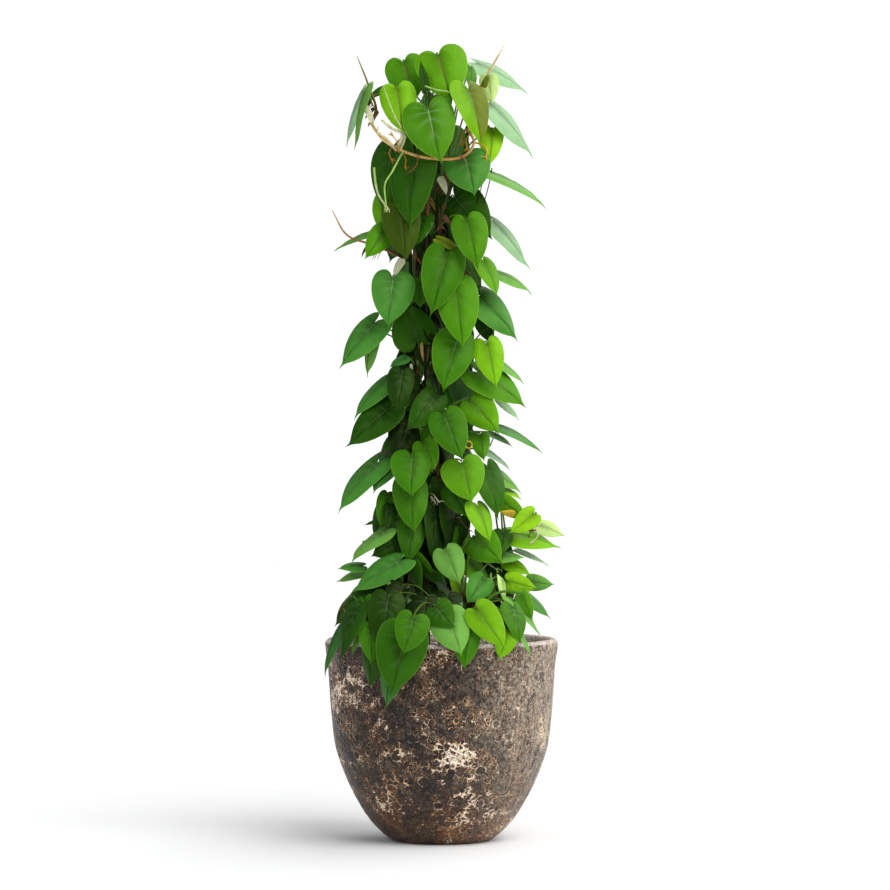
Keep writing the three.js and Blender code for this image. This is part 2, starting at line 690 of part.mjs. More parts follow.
// The inner wall from the top down to the middle of the floor, drawn in by a gap
function innerProfile(gap) {
  const wall = POT_PROFILE.filter((_, i) => i % 2 === 1)
    .map(([radius, z]) => [radius - POT_WALL - gap, z])
    .reverse();
  return [...wall, [POT_FOOT_RADIUS, POT_FLOOR + gap], [0, POT_FLOOR + gap]];
}

function soilSolid(holes) {
  const top = POT_HEIGHT - SOIL_BELOW_RIM;
  const edge = POT_RIM_RADIUS - POT_WALL - 2 - CLEARANCE;
  const mound = [[0, top + SOIL_MOUND], [90, top + SOIL_MOUND * 0.6], [edge, top]];
  const profile = [...mound, ...innerProfile(CLEARANCE)];
  let soil = turned(profile.reverse(), POT_SIDES);
  holes.forEach((hole) => {
    soil = soil.subtract(hole);
  });
  return soil.simplify(SLIVER);
}

function stakeSolid(gap) {
  const bottom = STAKE_FOOT - (gap > 0 ? HOLE_FOOT_GAP : 0);
  const points = [around(0, 0, bottom), around(0, 0, STAKE_TOP)];
  return rod(points, STAKE_RADIUS + gap, 10, 1);
}

// The hole a stem stands in: the stem's own lower run, a little wider, open at the soil's top
function stemHole(points) {
  const run = points[1].clone().sub(points[0]).normalize();
  const foot = points[0].clone().addScaledVector(run, -HOLE_FOOT_GAP);
  return rod([foot, points[1]], STEM_RADIUS + HOLE_CLEARANCE, 8, 1);
}

function meshOf(name, solid, colour, roughness) {
  const material = new THREE.MeshStandardMaterial({ color: colour, roughness, metalness: 0 });
  const mesh = new THREE.Mesh(geometryOf(solid), material);
  mesh.name = name;
  return mesh;
}

// Every leaf in turn finds its room among the leaves before it, takes its root and joins its vine.
// A leaf that finds no room isn't grown.
function growLeaves(vines, obstacles) {
  const grow = (spec, make) => {
    const leaf = placeLeaf(spec, make, vines, obstacles);
    if (leaf === null) return;
    const vine = vines[leaf.vine];
    const root = leaf.path[leaf.path.length - 1];
    vine.nodes = vine.nodes.filter((node) => node !== root);
    vine.leaves.push(leafBody(leaf));
    obstacles.push(obstacleOf(leaf.vine, 'blade', bladeProbe(leaf)));
    obstacles.push(obstacleOf(leaf.vine, 'petiole', petioleProbe(leaf)));
  };
  SEEN_LEAVES.forEach((spec) => grow(spec, leafFromPhoto));
  ruleLeaves().forEach((spec) => grow(spec, leafFromRule));
}

function build() {
  const vines = Object.fromEntries(Object.entries(VINES).map(([name, plan]) => [name, vineBody(plan)]));
  const holes = Object.values(VINES).map((plan) => stemHole(plan.stems[0]));
  const pot = potSolid();
  const soil = soilSolid([stakeSolid(CLEARANCE), ...holes]);
  const stake = stakeSolid(0);
  const obstacles = [pot, soil, stake].map((solid) => obstacleOf('', 'fixed', solid));
  Object.entries(vines).forEach(([name, vine]) => obstacles.push(obstacleOf(name, 'stem', vine.body)));
  growLeaves(vines, obstacles);

  const group = new THREE.Group();
  group.add(meshOf('pot', pot, POT_COLOUR, 0.55));
  group.add(meshOf('soil', soil, SOIL_COLOUR, 0.95));
  group.add(meshOf('stake', stake, STAKE_COLOUR, 0.9));
  Object.entries(vines).forEach(([name, vine]) => {
    const body = vine.leaves.reduce((sum, leaf) => sum.add(leaf), vine.body);
    group.add(meshOf(name, body.simplify(SLIVER), FOLIAGE_COLOUR, 0.4));
  });
  return group;
}

export default build();
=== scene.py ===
"""A potted heartleaf philodendron: eight climbing vines round a slim stake in a crater-glazed pot."""

import json
import logging
import math
from dataclasses import dataclass, field
from enum import Enum
from functools import cache
from typing import Any, Callable, Iterator, Optional, Sequence

import bpy
import numpy as np
from bpy.types import Material, Mesh, Node, NodeSocket, NodeTree, Object
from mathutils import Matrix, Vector
from mathutils.bvhtree import BVHTree
from mathutils.kdtree import KDTree

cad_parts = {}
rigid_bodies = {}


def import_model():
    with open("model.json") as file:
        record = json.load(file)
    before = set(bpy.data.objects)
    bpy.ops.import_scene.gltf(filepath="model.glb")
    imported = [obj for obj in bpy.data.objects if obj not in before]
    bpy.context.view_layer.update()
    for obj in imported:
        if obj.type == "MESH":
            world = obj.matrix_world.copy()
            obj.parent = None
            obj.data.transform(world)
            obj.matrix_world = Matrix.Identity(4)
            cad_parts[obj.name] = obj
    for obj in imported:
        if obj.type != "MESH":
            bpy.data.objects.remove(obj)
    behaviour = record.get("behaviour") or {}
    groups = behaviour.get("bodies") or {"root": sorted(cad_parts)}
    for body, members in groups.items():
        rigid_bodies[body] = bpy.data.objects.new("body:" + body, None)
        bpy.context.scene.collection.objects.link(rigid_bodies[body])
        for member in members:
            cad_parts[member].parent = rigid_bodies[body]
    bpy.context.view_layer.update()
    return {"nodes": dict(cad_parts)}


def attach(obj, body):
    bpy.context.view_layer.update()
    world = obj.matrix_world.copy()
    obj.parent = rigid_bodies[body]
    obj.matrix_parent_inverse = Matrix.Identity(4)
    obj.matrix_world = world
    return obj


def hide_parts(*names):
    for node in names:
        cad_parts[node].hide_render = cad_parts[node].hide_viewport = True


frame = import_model()

LOG = logging.getLogger("philodendron")
MM = 0.001
Point = np.ndarray
Triple = tuple[float, float, float]
Colour = Triple


def linear(red: int, green: int, blue: int) -> Colour:
    """Turns an 8-bit display colour into linear light, 0 to 1."""
    parts = [part / 255 for part in (red, green, blue)]
    return tuple(p / 12.92 if p <= 0.04045 else ((p + 0.055) / 1.055) ** 2.4 for p in parts)


class Tone(Enum):
    """The colours given to leaves, from near-black painted shade to newly opened; some greens carry a painted sky
    sheen.
    """

    # SHADE and DARK: the leaves' own dark green deepened by painted shade, for leaves deep in the column.
    SHADE = linear(10, 28, 2)
    DARK = linear(20, 52, 3)
    FOREST = linear(30, 72, 5)
    DEEP = linear(40, 90, 7)
    MID = linear(54, 110, 9)
    FRESH = linear(70, 130, 11)
    BRIGHT = linear(88, 148, 14)
    LIME = linear(110, 168, 16)
    ACID = linear(134, 190, 24)
    YOUNG = linear(188, 218, 130)
    OLIVE = linear(98, 112, 16)
    SAGE = linear(50, 104, 42)
    # BLUISH, HAZE and MINT: green paled and blued by a painted sheen of reflected sky.
    BLUISH = linear(66, 128, 44)
    HAZE = linear(104, 160, 66)
    MINT = linear(142, 182, 134)
    MOSS = linear(46, 66, 5)
    TAN = linear(150, 122, 70)
    BROWN = linear(80, 54, 28)
    STRAW = linear(206, 208, 172)
    GOLD = linear(222, 190, 60)


class Bark(Enum):
    """The colours of stems, petioles, roots and sheaths."""

    PETIOLE = linear(70, 112, 24)
    PALE = linear(150, 184, 92)
    STEM = linear(56, 66, 26)
    WOODY = linear(46, 34, 20)
    RING = linear(112, 80, 40)
    ROOT = linear(172, 106, 38)
    CREAM = linear(206, 200, 160)
    TAN = linear(164, 132, 82)
    BROWN = linear(92, 52, 22)
    YELLOW = linear(196, 158, 44)
    BLACK = linear(30, 24, 16)


@dataclass(frozen=True)
class View:
    """Where the photograph was taken from, in millimetres, and its scale at the pot's axis."""

    eye: Triple = (6.0, -5900.0, 678.0)
    picture_centre: float = 445.0
    pixel_size: float = 1.72
    sensor: float = 36.0

    def point(self, pixel: tuple[float, float], depth: float) -> Point:
        """Gives the place seen at a pixel, brought a depth toward the eye.

        Args:
            pixel: Column and row in the photograph.
            depth: Distance from the pot's axis toward the eye, in millimetres.

        Returns:
            The place in millimetres.
        """
        reach = -self.eye[1]
        scale = self.pixel_size * (reach - depth) / reach
        x = self.eye[0] + (pixel[0] - self.picture_centre) * scale
        z = self.eye[2] + (self.picture_centre - pixel[1]) * scale
        return np.array([x, -depth, z])

    def lens(self) -> float:
        """Gives the focal length in millimetres that frames the photograph."""
        half_picture = self.picture_centre * self.pixel_size
        return self.sensor / 2 * -self.eye[1] / half_picture


VIEW = View()
STAKE_X = -25.0
STAKE_RADIUS = 5.5
STAKE_FOOT = 60.0
STAKE_TOP = 1100.0
STEM_FOOT = 262.0
SOIL_TOP = 338.0
LOWEST_ROOT = 372.0
STEM_SAMPLES = 120


def around(radius: float, azimuth: float, z: float) -> Point:
    """Gives a point round the stake: azimuth 0 faces the viewer, 90 the viewer's right."""
    angle = math.radians(azimuth)
    return np.array([STAKE_X + radius * math.sin(angle), -radius * math.cos(angle), z])


def climb(*places: Triple) -> list[Point]:
    """Gives points round the stake, each from its radius, azimuth and height."""
    return [around(*place) for place in places]


def read(*places: Triple) -> list[Point]:
    """Gives points read off the photograph, each from its pixel and its depth toward the eye."""
    return [VIEW.point(place[:2], place[2]) for place in places]


def stem_foot(radius: float, azimuth: float) -> list[Point]:
    """Gives a stem's straight lower run: its foot, the soil's top, and just above."""
    return climb(*((radius, azimuth, z) for z in (STEM_FOOT, SOIL_TOP, LOWEST_ROOT)))


def unit(vector: Point) -> Point:
    """Gives a vector's direction."""
    return vector / np.linalg.norm(vector)


def across_from(vector: Point, axis: Point) -> Point:
    """Gives the direction of the part of a vector that is square to an axis."""
    return unit(vector - axis * np.dot(vector, axis))


def curve_points(points: Sequence[Point], count: int) -> np.ndarray:
    """Samples the smooth curve through some points, at even steps of its parameter.

    Args:
        points: The points that the curve passes through.
        count: The number of steps.

    Returns:
        One row for each of the count + 1 samples.
    """
    knots = [np.asarray(point, float) for point in points]
    last = len(knots) - 1
    ends = [2 * knots[0] - knots[1], *knots, 2 * knots[-1] - knots[-2]]
    samples = []
    for step in range(count + 1):
        place = last * step / count
        span = min(int(place), last - 1)
        samples.append(span_point(ends[span : span + 4], place - span))
    return np.array(samples)


def span_point(knots: Sequence[Point], t: float) -> Point:
    """Gives a point between the middle two of four knots of a centripetal curve."""
    p0, p1, p2, p3 = knots
    gaps = [max(np.linalg.norm(b - a), 1e-8) ** 0.5 for a, b in ((p0, p1), (p1, p2), (p2, p3))]
    d0, d1, d2 = gaps
    m1 = ((p1 - p0) / d0 - (p2 - p0) / (d0 + d1) + (p2 - p1) / d1) * d1
    m2 = ((p2 - p1) / d1 - (p3 - p1) / (d1 + d2) + (p3 - p2) / d2) * d1
    c2 = -3 * p1 + 3 * p2 - 2 * m1 - m2
    c3 = 2 * p1 - 2 * p2 + m1 + m2
    return p1 + m1 * t + c2 * t * t + c3 * t**3


def nearest(points: Sequence[Point], wanted: Point) -> int:
    """Gives the index of the first point that lies nearest to a wanted place."""
    return int(np.argmin(np.linalg.norm(np.array(points) - wanted, axis=1)))


class Draw:
    """A seeded draw, the same one that the solids use."""

    def __init__(self, seed: int) -> None:
        """Starts the draw at a seed."""
        self.state = seed

    def next(self) -> float:
        """Gives the next number from 0 to 1."""
        self.state = (self.state * 1664525 + 1013904223) % 4294967296
        return self.state / 4294967296

    def spread(self, size: float) -> float:
        """Gives a number from minus size to size."""
        return (self.next() * 2 - 1) * size

    def vector(self, *sizes: float) -> Point:
        """Gives a vector whose numbers go from minus each size to that size."""
        return np.array([self.spread(size) for size in sizes])

    def pick(self, choices: Sequence[Any]) -> Any:
        """Gives one of some choices."""
        return choices[int(self.next() * len(choices))]


@dataclass(frozen=True)
class SeenLeaf:
    """A leaf read off the photograph: notch and tip pixels, apparent width and depth in millimetres."""

    sinus: tuple[float, float]
    tip: tuple[float, float]
    width: float
    depth: float
    tone: Tone = Tone.MID
    lean: float = 20.0
    veins: float = 0.3
    ruddy: float = 0.0
    right: Optional[Tone] = None


@dataclass(frozen=True)
class RuleLeaf:
    """A leaf of the far side, placed round the stake by the seeded rule."""

    vine: str
    z: float
    azimuth: float
    radius: float
    length: float
    lean: float
    twist: float
    turn: float


def read_leaves(rows: Sequence[tuple]) -> list[SeenLeaf]:
    """Gives a table's leaves: each row holds notch, tip, width, depth, tone, and what differs from the usual."""
    named = [[Tone[entry] if isinstance(entry, str) else entry for entry in row] for row in rows]
    return [SeenLeaf(row[:2], row[2:4], *row[4:]) for row in named]


LOOP = "vine_front_right"
CROWN = (
    (428, 109, 441, 166, 91, 100, "FRESH", 20, 1), (438, 56, 453, 105, 91, 62, "BRIGHT", 20, 0.1, 0.9),
    (397, 90, 404, 137, 64, 72, "LIME", 20, 0.1, 0.6), (404, 63, 415, 105, 72, 34, "FRESH", 20, 0.1, 0.8),
    (363, 92, 347, 148, 17, 30, "MINT", 5), (364, 95, 357, 151, 14, 62, "HAZE", 10),
    (383, 88, 367, 101, 14, 22, "DEEP", 5), (468, 90, 481, 147, 57, 72, "LIME", 20, 0.4, 0, "OLIVE"),
    (470, 68, 470, 92, 24, 20, "FRESH"), (426, 88, 420, 59, 17, 84, "FOREST", -4),
    (488, 78, 492, 106, 34, 10, "YOUNG", 20, 0.1), (478, 64, 528, 95, 30, 18, "MINT", 5, 0.1),
    (490, 104, 533, 160, 34, 14, "MINT", 10, -0.4), (492, 131, 489, 168, 43, 30, "ACID", 20, 0.1),
    (465, 158, 476, 197, 81, 62, "BLUISH", 20, 0.7), (489, 172, 547, 208, 12, 20, "HAZE", 5),
)
SHOULDER = (
    (415, 155, 411, 232, 81, 68, "DEEP", 20, 0.2), (392, 150, 385, 215, 69, 46, "DEEP"),
    (385, 195, 384, 238, 48, 26, "BRIGHT"), (385, 232, 364, 260, 43, 30, "FRESH"),
    (383, 228, 333, 252, 9, 4, "HAZE", 5), (400, 208, 407, 264, 67, 50, "MOSS", 20, 0.1),
    (467, 222, 479, 270, 62, 84, "FRESH", 20, 0.2), (455, 198, 494, 241, 77, 56, "FOREST"),
    (446, 256, 431, 318, 74, 76, "MID", 20, 0.2), (440, 240, 466, 256, 17, 58, "OLIVE", 5),
    (493, 222, 529, 272, 31, 10, "MINT", 10, -0.6), (484, 262, 497, 298, 34, 44, "BRIGHT"),
    (498, 273, 533, 294, 17, 20, "HAZE", 5), (393, 279, 387, 329, 76, 46, "BLUISH", 20, 0.6),
)
MIDDLE = (
    (455, 288, 464, 351, 74, 84, "FRESH", 20, 0.15), (480, 297, 518, 342, 54, 34, "BLUISH", 12, -0.5),
    (417, 339, 402, 300, 77, 40, "FOREST", -12, 0.1), (375, 323, 340, 370, 52, 20, "BLUISH", 10, 0.55),
    (374, 334, 368, 378, 26, 4, "HAZE", 10), (457, 340, 442, 393, 74, 68, "MID", 20, 0.4),
    (487, 345, 497, 389, 53, 60, "LIME", 20, 0.3), (478, 373, 527, 408, 57, 34, "FRESH", 10, 0.3),
    (386, 381, 353, 420, 31, 4, "BLUISH", 10), (388, 409, 347, 450, 58, 34, "FOREST", 12),
    (402, 374, 397, 415, 48, 56, "DARK"), (405, 358, 389, 368, 17, 40, "SAGE", 5),
    (435, 398, 406, 432, 52, 64, "FOREST", 20, 0.4), (445, 417, 463, 462, 65, 82, "MID", 20, 0.3),
    (472, 403, 501, 434, 60, 58, "BRIGHT", 20, 0.3), (502, 427, 543, 453, 15, 12, "BLUISH", 5),
    (500, 362, 524, 385, 14, 8, "HAZE", 5), (500, 400, 519, 421, 14, 4, "MINT", 5),
    (490, 432, 513, 447, 12, 12, "MINT", 5), (486, 450, 511, 470, 12, 8, "MINT", 5),
    (408, 422, 396, 470, 65, 34, "SHADE"), (398, 436, 380, 452, 24, 4, "SAGE", 5),
    (424, 444, 436, 472, 45, 50, "FRESH"), (412, 457, 411, 499, 69, 76, "MID", 20, 0.3),
    (462, 464, 473, 505, 76, 76, "BRIGHT", 20, 0.3), (480, 436, 484, 462, 34, 44, "FRESH"),
    (487, 468, 497, 521, 52, 50, "DEEP", 20, 0.2), (486, 470, 522, 493, 28, 20, "HAZE", 5),
    (503, 488, 522, 500, 14, 8, "ACID", 5), (377, 463, 337, 514, 42, 20, "BLUISH", 10, 0.55),
    (390, 466, 372, 494, 31, 42, "SAGE"), (409, 484, 414, 536, 62, 58, "MID", 20, 0.2),
    (453, 488, 468, 519, 48, 46, "DEEP"),
)
SKIRT = (
    (478, 507, 489, 544, 40, 78, "LIME", 20, 0.2), (503, 503, 528, 520, 34, 34, "BRIGHT", 10),
    (533, 515, 509, 534, 38, 64, "ACID", 10, 0.1), (541, 526, 565, 537, 28, 26, "YOUNG", 5, 0.1),
    (511, 533, 561, 550, 36, 46, "LIME", 10), (384, 531, 349, 563, 26, 12, "HAZE", 10, 1.6),
    (379, 520, 364, 526, 8, 20, "DEEP", 5), (388, 497, 380, 529, 38, 30, "MID", 10),
    (391, 507, 385, 530, 28, 42, "DARK"), (412, 522, 408, 565, 50, 50, "DEEP"), (435, 512, 432, 565, 36, 44, "DARK"),
    (450, 508, 447, 548, 34, 34, "DARK"), (462, 530, 452, 548, 24, 28, "MID"),
    (400, 561, 351, 595, 45, 84, "BLUISH", 15, 0.6), (397, 543, 370, 557, 40, 46, "FOREST", 10),
    (362, 566, 337, 569, 19, 24, "BLUISH", 5), (362, 572, 336, 583, 17, 6, "HAZE", 5),
    (446, 552, 461, 586, 53, 82, "HAZE", 20, 0.3), (458, 575, 460, 611, 31, 60, "ACID"),
    (412, 567, 423, 592, 28, 60, "DEEP"), (411, 557, 437, 574, 30, 66, "MID"), (430, 570, 448, 590, 24, 56, "DEEP"),
    (432, 587, 448, 604, 24, 56, "DARK"), (372, 584, 344, 611, 31, 70, "FOREST", 12),
    (476, 538, 504, 564, 62, 58, "FRESH"), (503, 533, 500, 557, 38, 36, "DEEP"), (468, 562, 488, 590, 38, 44, "FRESH"),
    (483, 580, 466, 605, 45, 84, "BLUISH"), (492, 590, 470, 604, 28, 62, "BRIGHT"),
    (502, 580, 503, 604, 14, 70, "YOUNG"), (509, 582, 538, 589, 38, 56, "ACID", 10),
    (530, 582, 555, 585, 30, 30, "HAZE", 5), (508, 562, 532, 576, 24, 34, "LIME", 5),
    (520, 550, 549, 567, 9, 20, "MINT", 5), (500, 557, 526, 558, 19, 50, "HAZE", 5),
)
OVER_RIM = (
    (413, 619, 403, 656, 58, 240, "MID", 6, 0.4), (405, 634, 391, 697, 88, 216, "DEEP", 2, 0.3),
    (388, 600, 380, 650, 62, 192, "DARK", 12, 0.3), (399, 645, 386, 711, 52, 194, "SAGE", -4),
    (364, 605, 371, 652, 34, 176, "DEEP", 14), (356, 610, 341, 663, 34, 152, "FOREST", 14),
    (340, 628, 324, 677, 17, 116, "SAGE", 10), (372, 628, 372, 666, 44, 172, "MID", 2),
    (373, 638, 372, 690, 44, 166, "FOREST", -2), (359, 634, 352, 657, 10, 158, "HAZE", 8),
    (436, 608, 455, 629, 52, 196, "DEEP", 12, 0.5), (447, 616, 463, 657, 68, 200, "HAZE", 16, 0.8),
    (467, 628, 464, 671, 50, 176, "MID", 10), (478, 612, 507, 650, 56, 186, "LIME", 12, 0.3),
    (507, 632, 499, 661, 41, 176, "LIME", 6), (513, 608, 520, 645, 38, 160, "MID", 20, 0.8),
    (522, 597, 533, 621, 28, 120, "FRESH", 10), (513, 601, 540, 637, 16, 128, "HAZE", 20),
    (525, 594, 550, 620, 21, 96, "BLUISH", 8), (518, 630, 531, 657, 9, 160, "HAZE", 10),
)
# Extra leaves, mostly SHADE and DARK: near-black blades that put painted shade into gaps in the column and above the
# rim.
EXTRA_LEAVES = read_leaves((
    (497, 548, 503, 590, 50, 14, "DARK"), (478, 556, 486, 598, 52, 20, "SHADE"), (500, 572, 512, 608, 40, 30, "DARK"),
    (392, 570, 388, 602, 44, 40, "DARK", 10), (426, 600, 420, 640, 60, 168, "SHADE", 40),
    (447, 596, 446, 632, 56, 150, "SHADE", 40), (404, 604, 402, 640, 56, 160, "SHADE", 40),
    (484, 312, 488, 344, 42, 22, "FOREST"), (432, 318, 430, 350, 34, 20, "SHADE"),
    (497, 600, 508, 640, 50, 30, "DARK", 20), (459, 520, 454, 556, 44, 30, "DARK", 10),
))
SEEN_LEAVES = read_leaves(CROWN + SHOULDER + MIDDLE + SKIRT + OVER_RIM)


@dataclass(frozen=True)
class SeenLine:
    """A thin stalk or root read off the photograph: pixels with depths, radius in millimetres, two tones."""

    points: tuple[Triple, ...]
    radius: float
    tone: Bark
    end: Bark
    tuft: int = 0


SEEN_LINES = [SeenLine(points, radius, Bark[tone], Bark[end], *tuft) for points, radius, tone, end, *tuft in (
    (((455, 97, 70), (449, 92, 90), (437, 90, 96), (425, 86, 92)), 1.7, "PALE", "PALE"),
    (((405, 136, 84), (394, 115, 98), (383, 86, 98)), 1.7, "CREAM", "PALE"),
    (((400, 157, 82), (392, 172, 92), (385, 184, 92), (386, 206, 92)), 1.7, "PALE", "PALE", 8),
    (((374, 168, 52), (376, 186, 70), (379, 196, 80), (387, 207, 92)), 1.9, "PALE", "CREAM", 4),
    (((402, 134, 84), (391, 128, 86), (382, 120, 82)), 3.0, "CREAM", "CREAM"),
    (((372, 122, 58), (366, 112, 62), (361, 102, 60)), 2.0, "CREAM", "PALE"),
    (((385, 333, 24), (397, 340, 34), (405, 354, 30), (409, 358, 20)), 1.2, "BLACK", "STEM"),
    (((494, 350, 34), (493, 338, 40), (494, 324, 36)), 2.2, "PETIOLE", "PETIOLE"),
    (((472, 345, 40), (480, 334, 48), (491, 325, 44)), 1.2, "BLACK", "STEM"),
    (((462, 551, 40), (465, 545, 58), (470, 530, 66)), 1.5, "PALE", "PETIOLE"),
    (((497, 583, 60), (491, 588, 74), (491, 573, 72)), 1.5, "PALE", "PALE"),
    (((425, 428, 30), (421, 429, 44), (418, 424, 48)), 1.4, "PALE", "PETIOLE"),
    (((490, 446, 20), (496, 432, 18)), 1.0, "BLACK", "STEM"),
    (((486, 165, 30), (483, 180, 34), (478, 200, 36), (474, 213, 34)), 0.9, "BLACK", "BLACK"),
    (((492, 168, 30), (489, 184, 33), (484, 202, 35), (479, 214, 33)), 0.9, "BLACK", "BLACK"),
    (((470, 128, 40), (463, 133, 58), (461, 142, 60)), 1.5, "YELLOW", "ROOT", 5),
    (((471, 132, 42), (466, 140, 60), (467, 148, 60)), 1.5, "ROOT", "YELLOW", 4),
    (((480, 144, 50), (487, 150, 66), (486, 157, 66)), 1.6, "YELLOW", "YELLOW", 6),
    (((404, 154, 80), (406, 160, 86), (405, 166, 86)), 1.0, "ROOT", "ROOT", 2),
    (((418, 156, 84), (417, 164, 88), (413, 170, 88)), 1.0, "ROOT", "RING", 2),
    (((396, 150, 76), (388, 140, 84), (378, 132, 82)), 2.4, "TAN", "CREAM", 3),
    (((392, 147, 72), (389, 154, 80), (392, 160, 80)), 1.0, "ROOT", "ROOT", 3),
    (((399, 152, 76), (397, 142, 84), (393, 136, 84)), 1.2, "ROOT", "YELLOW", 4),
    (((416, 258, 12), (419, 272, 22), (415, 286, 18), (418, 300, 12)), 0.8, "BLACK", "BLACK"),
    (((421, 260, 14), (417, 274, 24), (421, 290, 20), (416, 302, 14)), 0.8, "BLACK", "BROWN"),
    (((536, 530, 42), (538, 535, 50), (534, 541, 50)), 1.0, "CREAM", "CREAM", 5),
    (((500, 601, 60), (503, 604, 72), (507, 606, 72)), 1.0, "CREAM", "CREAM", 4),
    (((485, 561, 40), (490, 565, 54), (496, 569, 54)), 1.0, "CREAM", "PALE", 4),
    (((458, 518, 40), (463, 524, 56), (469, 530, 56)), 1.1, "RING", "BROWN", 3),
    (((432, 494, 36), (436, 498, 56), (439, 502, 56)), 1.3, "PALE", "CREAM", 3),
)]
CURL = ((469, 441, 66), (472, 444, 66), (470, 448, 66), (466, 447, 66), (466, 443, 66), (469, 441, 66))
SHEATHS = read_leaves((
    (421, 342, 424, 362, 6, 44, "TAN", 4), (429, 346, 426, 364, 4, 48, "BROWN", 4),
    (455, 268, 461, 290, 12, 50, "STRAW", 6), (465, 270, 476, 300, 8, 46, "BROWN", 6),
    (410, 364, 413, 376, 4, 34, "STRAW", 4), (514, 517, 499, 511, 9, 40, "GOLD", 6),
    (481, 86, 489, 74, 7, 34, "OLIVE", 4), (443, 176, 447, 196, 9, 26, "STRAW", 4),
    (374, 122, 364, 102, 6, 74, "STRAW", 4), (444, 214, 452, 226, 8, 44, "BROWN", 6),
    (431, 496, 436, 504, 4, 40, "STRAW", 6), (399, 258, 394, 278, 6, 12, "STRAW", 6),
))


@dataclass(frozen=True)
class LeafRule:
    """How the far side's leaves follow one vine upward."""

    vine: str
    azimuth: float
    low: float
    top: float
    step: float
    reach: tuple[float, float]


LEAF_RULES = [
    LeafRule("vine_back_left", -150, 395, 1225, 60, (0.46, 0.66)),
    LeafRule("vine_back", 180, 413, 1335, 58, (0.62, 0.95)),
    LeafRule("vine_back_right", 138, 431, 1265, 60, (0.62, 0.95)),
    LeafRule("vine_left", -132, 420, 1060, 140, (0.34, 0.4)),
    LeafRule("vine_right", 104, 450, 1060, 140, (0.6, 0.72)),
]
VEIN_STEP = 1.55
RULE_SEED = 41
SHADE_STEP = 58.0
RULE_SPREAD = 18.0
RIM_BAND = 460.0
ENVELOPE = [(395, 168), (470, 118), (700, 92), (950, 88), (1150, 94), (1270, 74), (1340, 46)]


@dataclass(frozen=True)
class VinePlan:
    """A vine's climbing stem, side shoots and new-leaf spikes, as points in millimetres."""

    stem: list[Point]
    shoots: list[list[Point]]
    spikes: list[list[Point]] = field(default_factory=list)
    spike_tones: list[tuple[Colour, Colour]] = field(default_factory=list)


VINES = {
    "vine_front": VinePlan(
        stem_foot(42, 0) + climb((22, -8, 520), (26, 6, 740), (22, -4, 960), (28, 5, 1130)),
        [climb((30, 0, 408), (80, 4, 422), (150, 6, 400))],
    ),
    "vine_front_left": VinePlan(
        stem_foot(44, -48) + climb((26, -58, 560), (24, -44, 800), (27, -50, 1010), (30, -28, 1170))
        + read((434, 96, 36)),
        [climb((34, -50, 400), (85, -44, 425), (152, -38, 405))],
    ),
    "vine_left": VinePlan(
        stem_foot(46, -96) + climb((27, -104, 600), (26, -92, 840), (30, -98, 1040), (36, -88, 1150)),
        [
            climb((36, -96, 395), (90, -84, 415), (158, -70, 400)),
            climb((28, -98, 500), (72, -86, 520), (112, -82, 512)),
        ],
        [read((412, 262, 4), (392, 252, 4), (370, 244, 6), (347, 235, 8), (332, 210, 8))],
        [(linear(40, 26, 20), linear(186, 136, 86))],
    ),
    "vine_back_left": VinePlan(
        stem_foot(46, -140) + climb((26, -150, 600), (28, -136, 860), (26, -144, 1060), (30, -130, 1215)),
        [climb((36, -140, 400), (90, -138, 425), (152, -136, 405))],
    ),
    "vine_back": VinePlan(
        stem_foot(46, 180) + climb((26, 188, 600), (28, 174, 860), (26, 184, 1080), (32, 172, 1285)),
        [climb((36, 180, 400), (90, 182, 425), (152, 180, 405))],
    ),
    "vine_back_right": VinePlan(
        stem_foot(46, 140) + climb((26, 134, 600), (28, 146, 860), (26, 138, 1060), (30, 128, 1225)),
        [climb((36, 140, 400), (90, 138, 425), (152, 136, 405))],
    ),
    "vine_right": VinePlan(
        stem_foot(46, 96) + climb((26, 104, 600), (27, 92, 840), (26, 98, 1040), (34, 84, 1160)),
        [
            climb((36, 96, 395), (90, 84, 415), (158, 72, 400)),
            climb((28, 98, 480), (95, 84, 525)) + read((536, 530, 42)),
        ],
    ),
    "vine_front_right": VinePlan(
        stem_foot(44, 48) + climb((24, 56, 560), (27, 44, 800), (24, 50, 1010))
        + read((446, 200, 28), (463, 160, 32), (468, 128, 34), (466, 98, 30)),
        [
            climb((34, 48, 400), (85, 44, 425), (152, 40, 405)),
            read((467, 130, 34), (474, 143, 52), (462, 157, 70), (422, 157, 82), (385, 141, 66), (370, 122, 56)),
        ],
        [
            read((371, 124, 57), (376, 110, 54), (368, 84, 48), (357, 56, 40)),
            read((467, 106, 31), (478, 92, 30), (490, 70, 26), (504, 46, 20)),
        ],
        [(linear(112, 64, 30), linear(126, 122, 62)), (linear(178, 132, 62), linear(218, 190, 134))],
    ),
}
LOOP_TONES = (linear(228, 192, 122), linear(188, 138, 72))


@dataclass
class Leaf:
    """A leaf where it grows: its notch, its own directions, its size and its petiole, in millimetres."""

    sinus: Point
    along: Point
    across: Point
    normal: Point
    length: float
    width: float
    tone: Tone = Tone.MID
    veins: float = 0.3
    ruddy: float = 0.0
    right: Optional[Tone] = None
    vine: str = ""
    petiole: list[Point] = field(default_factory=list)


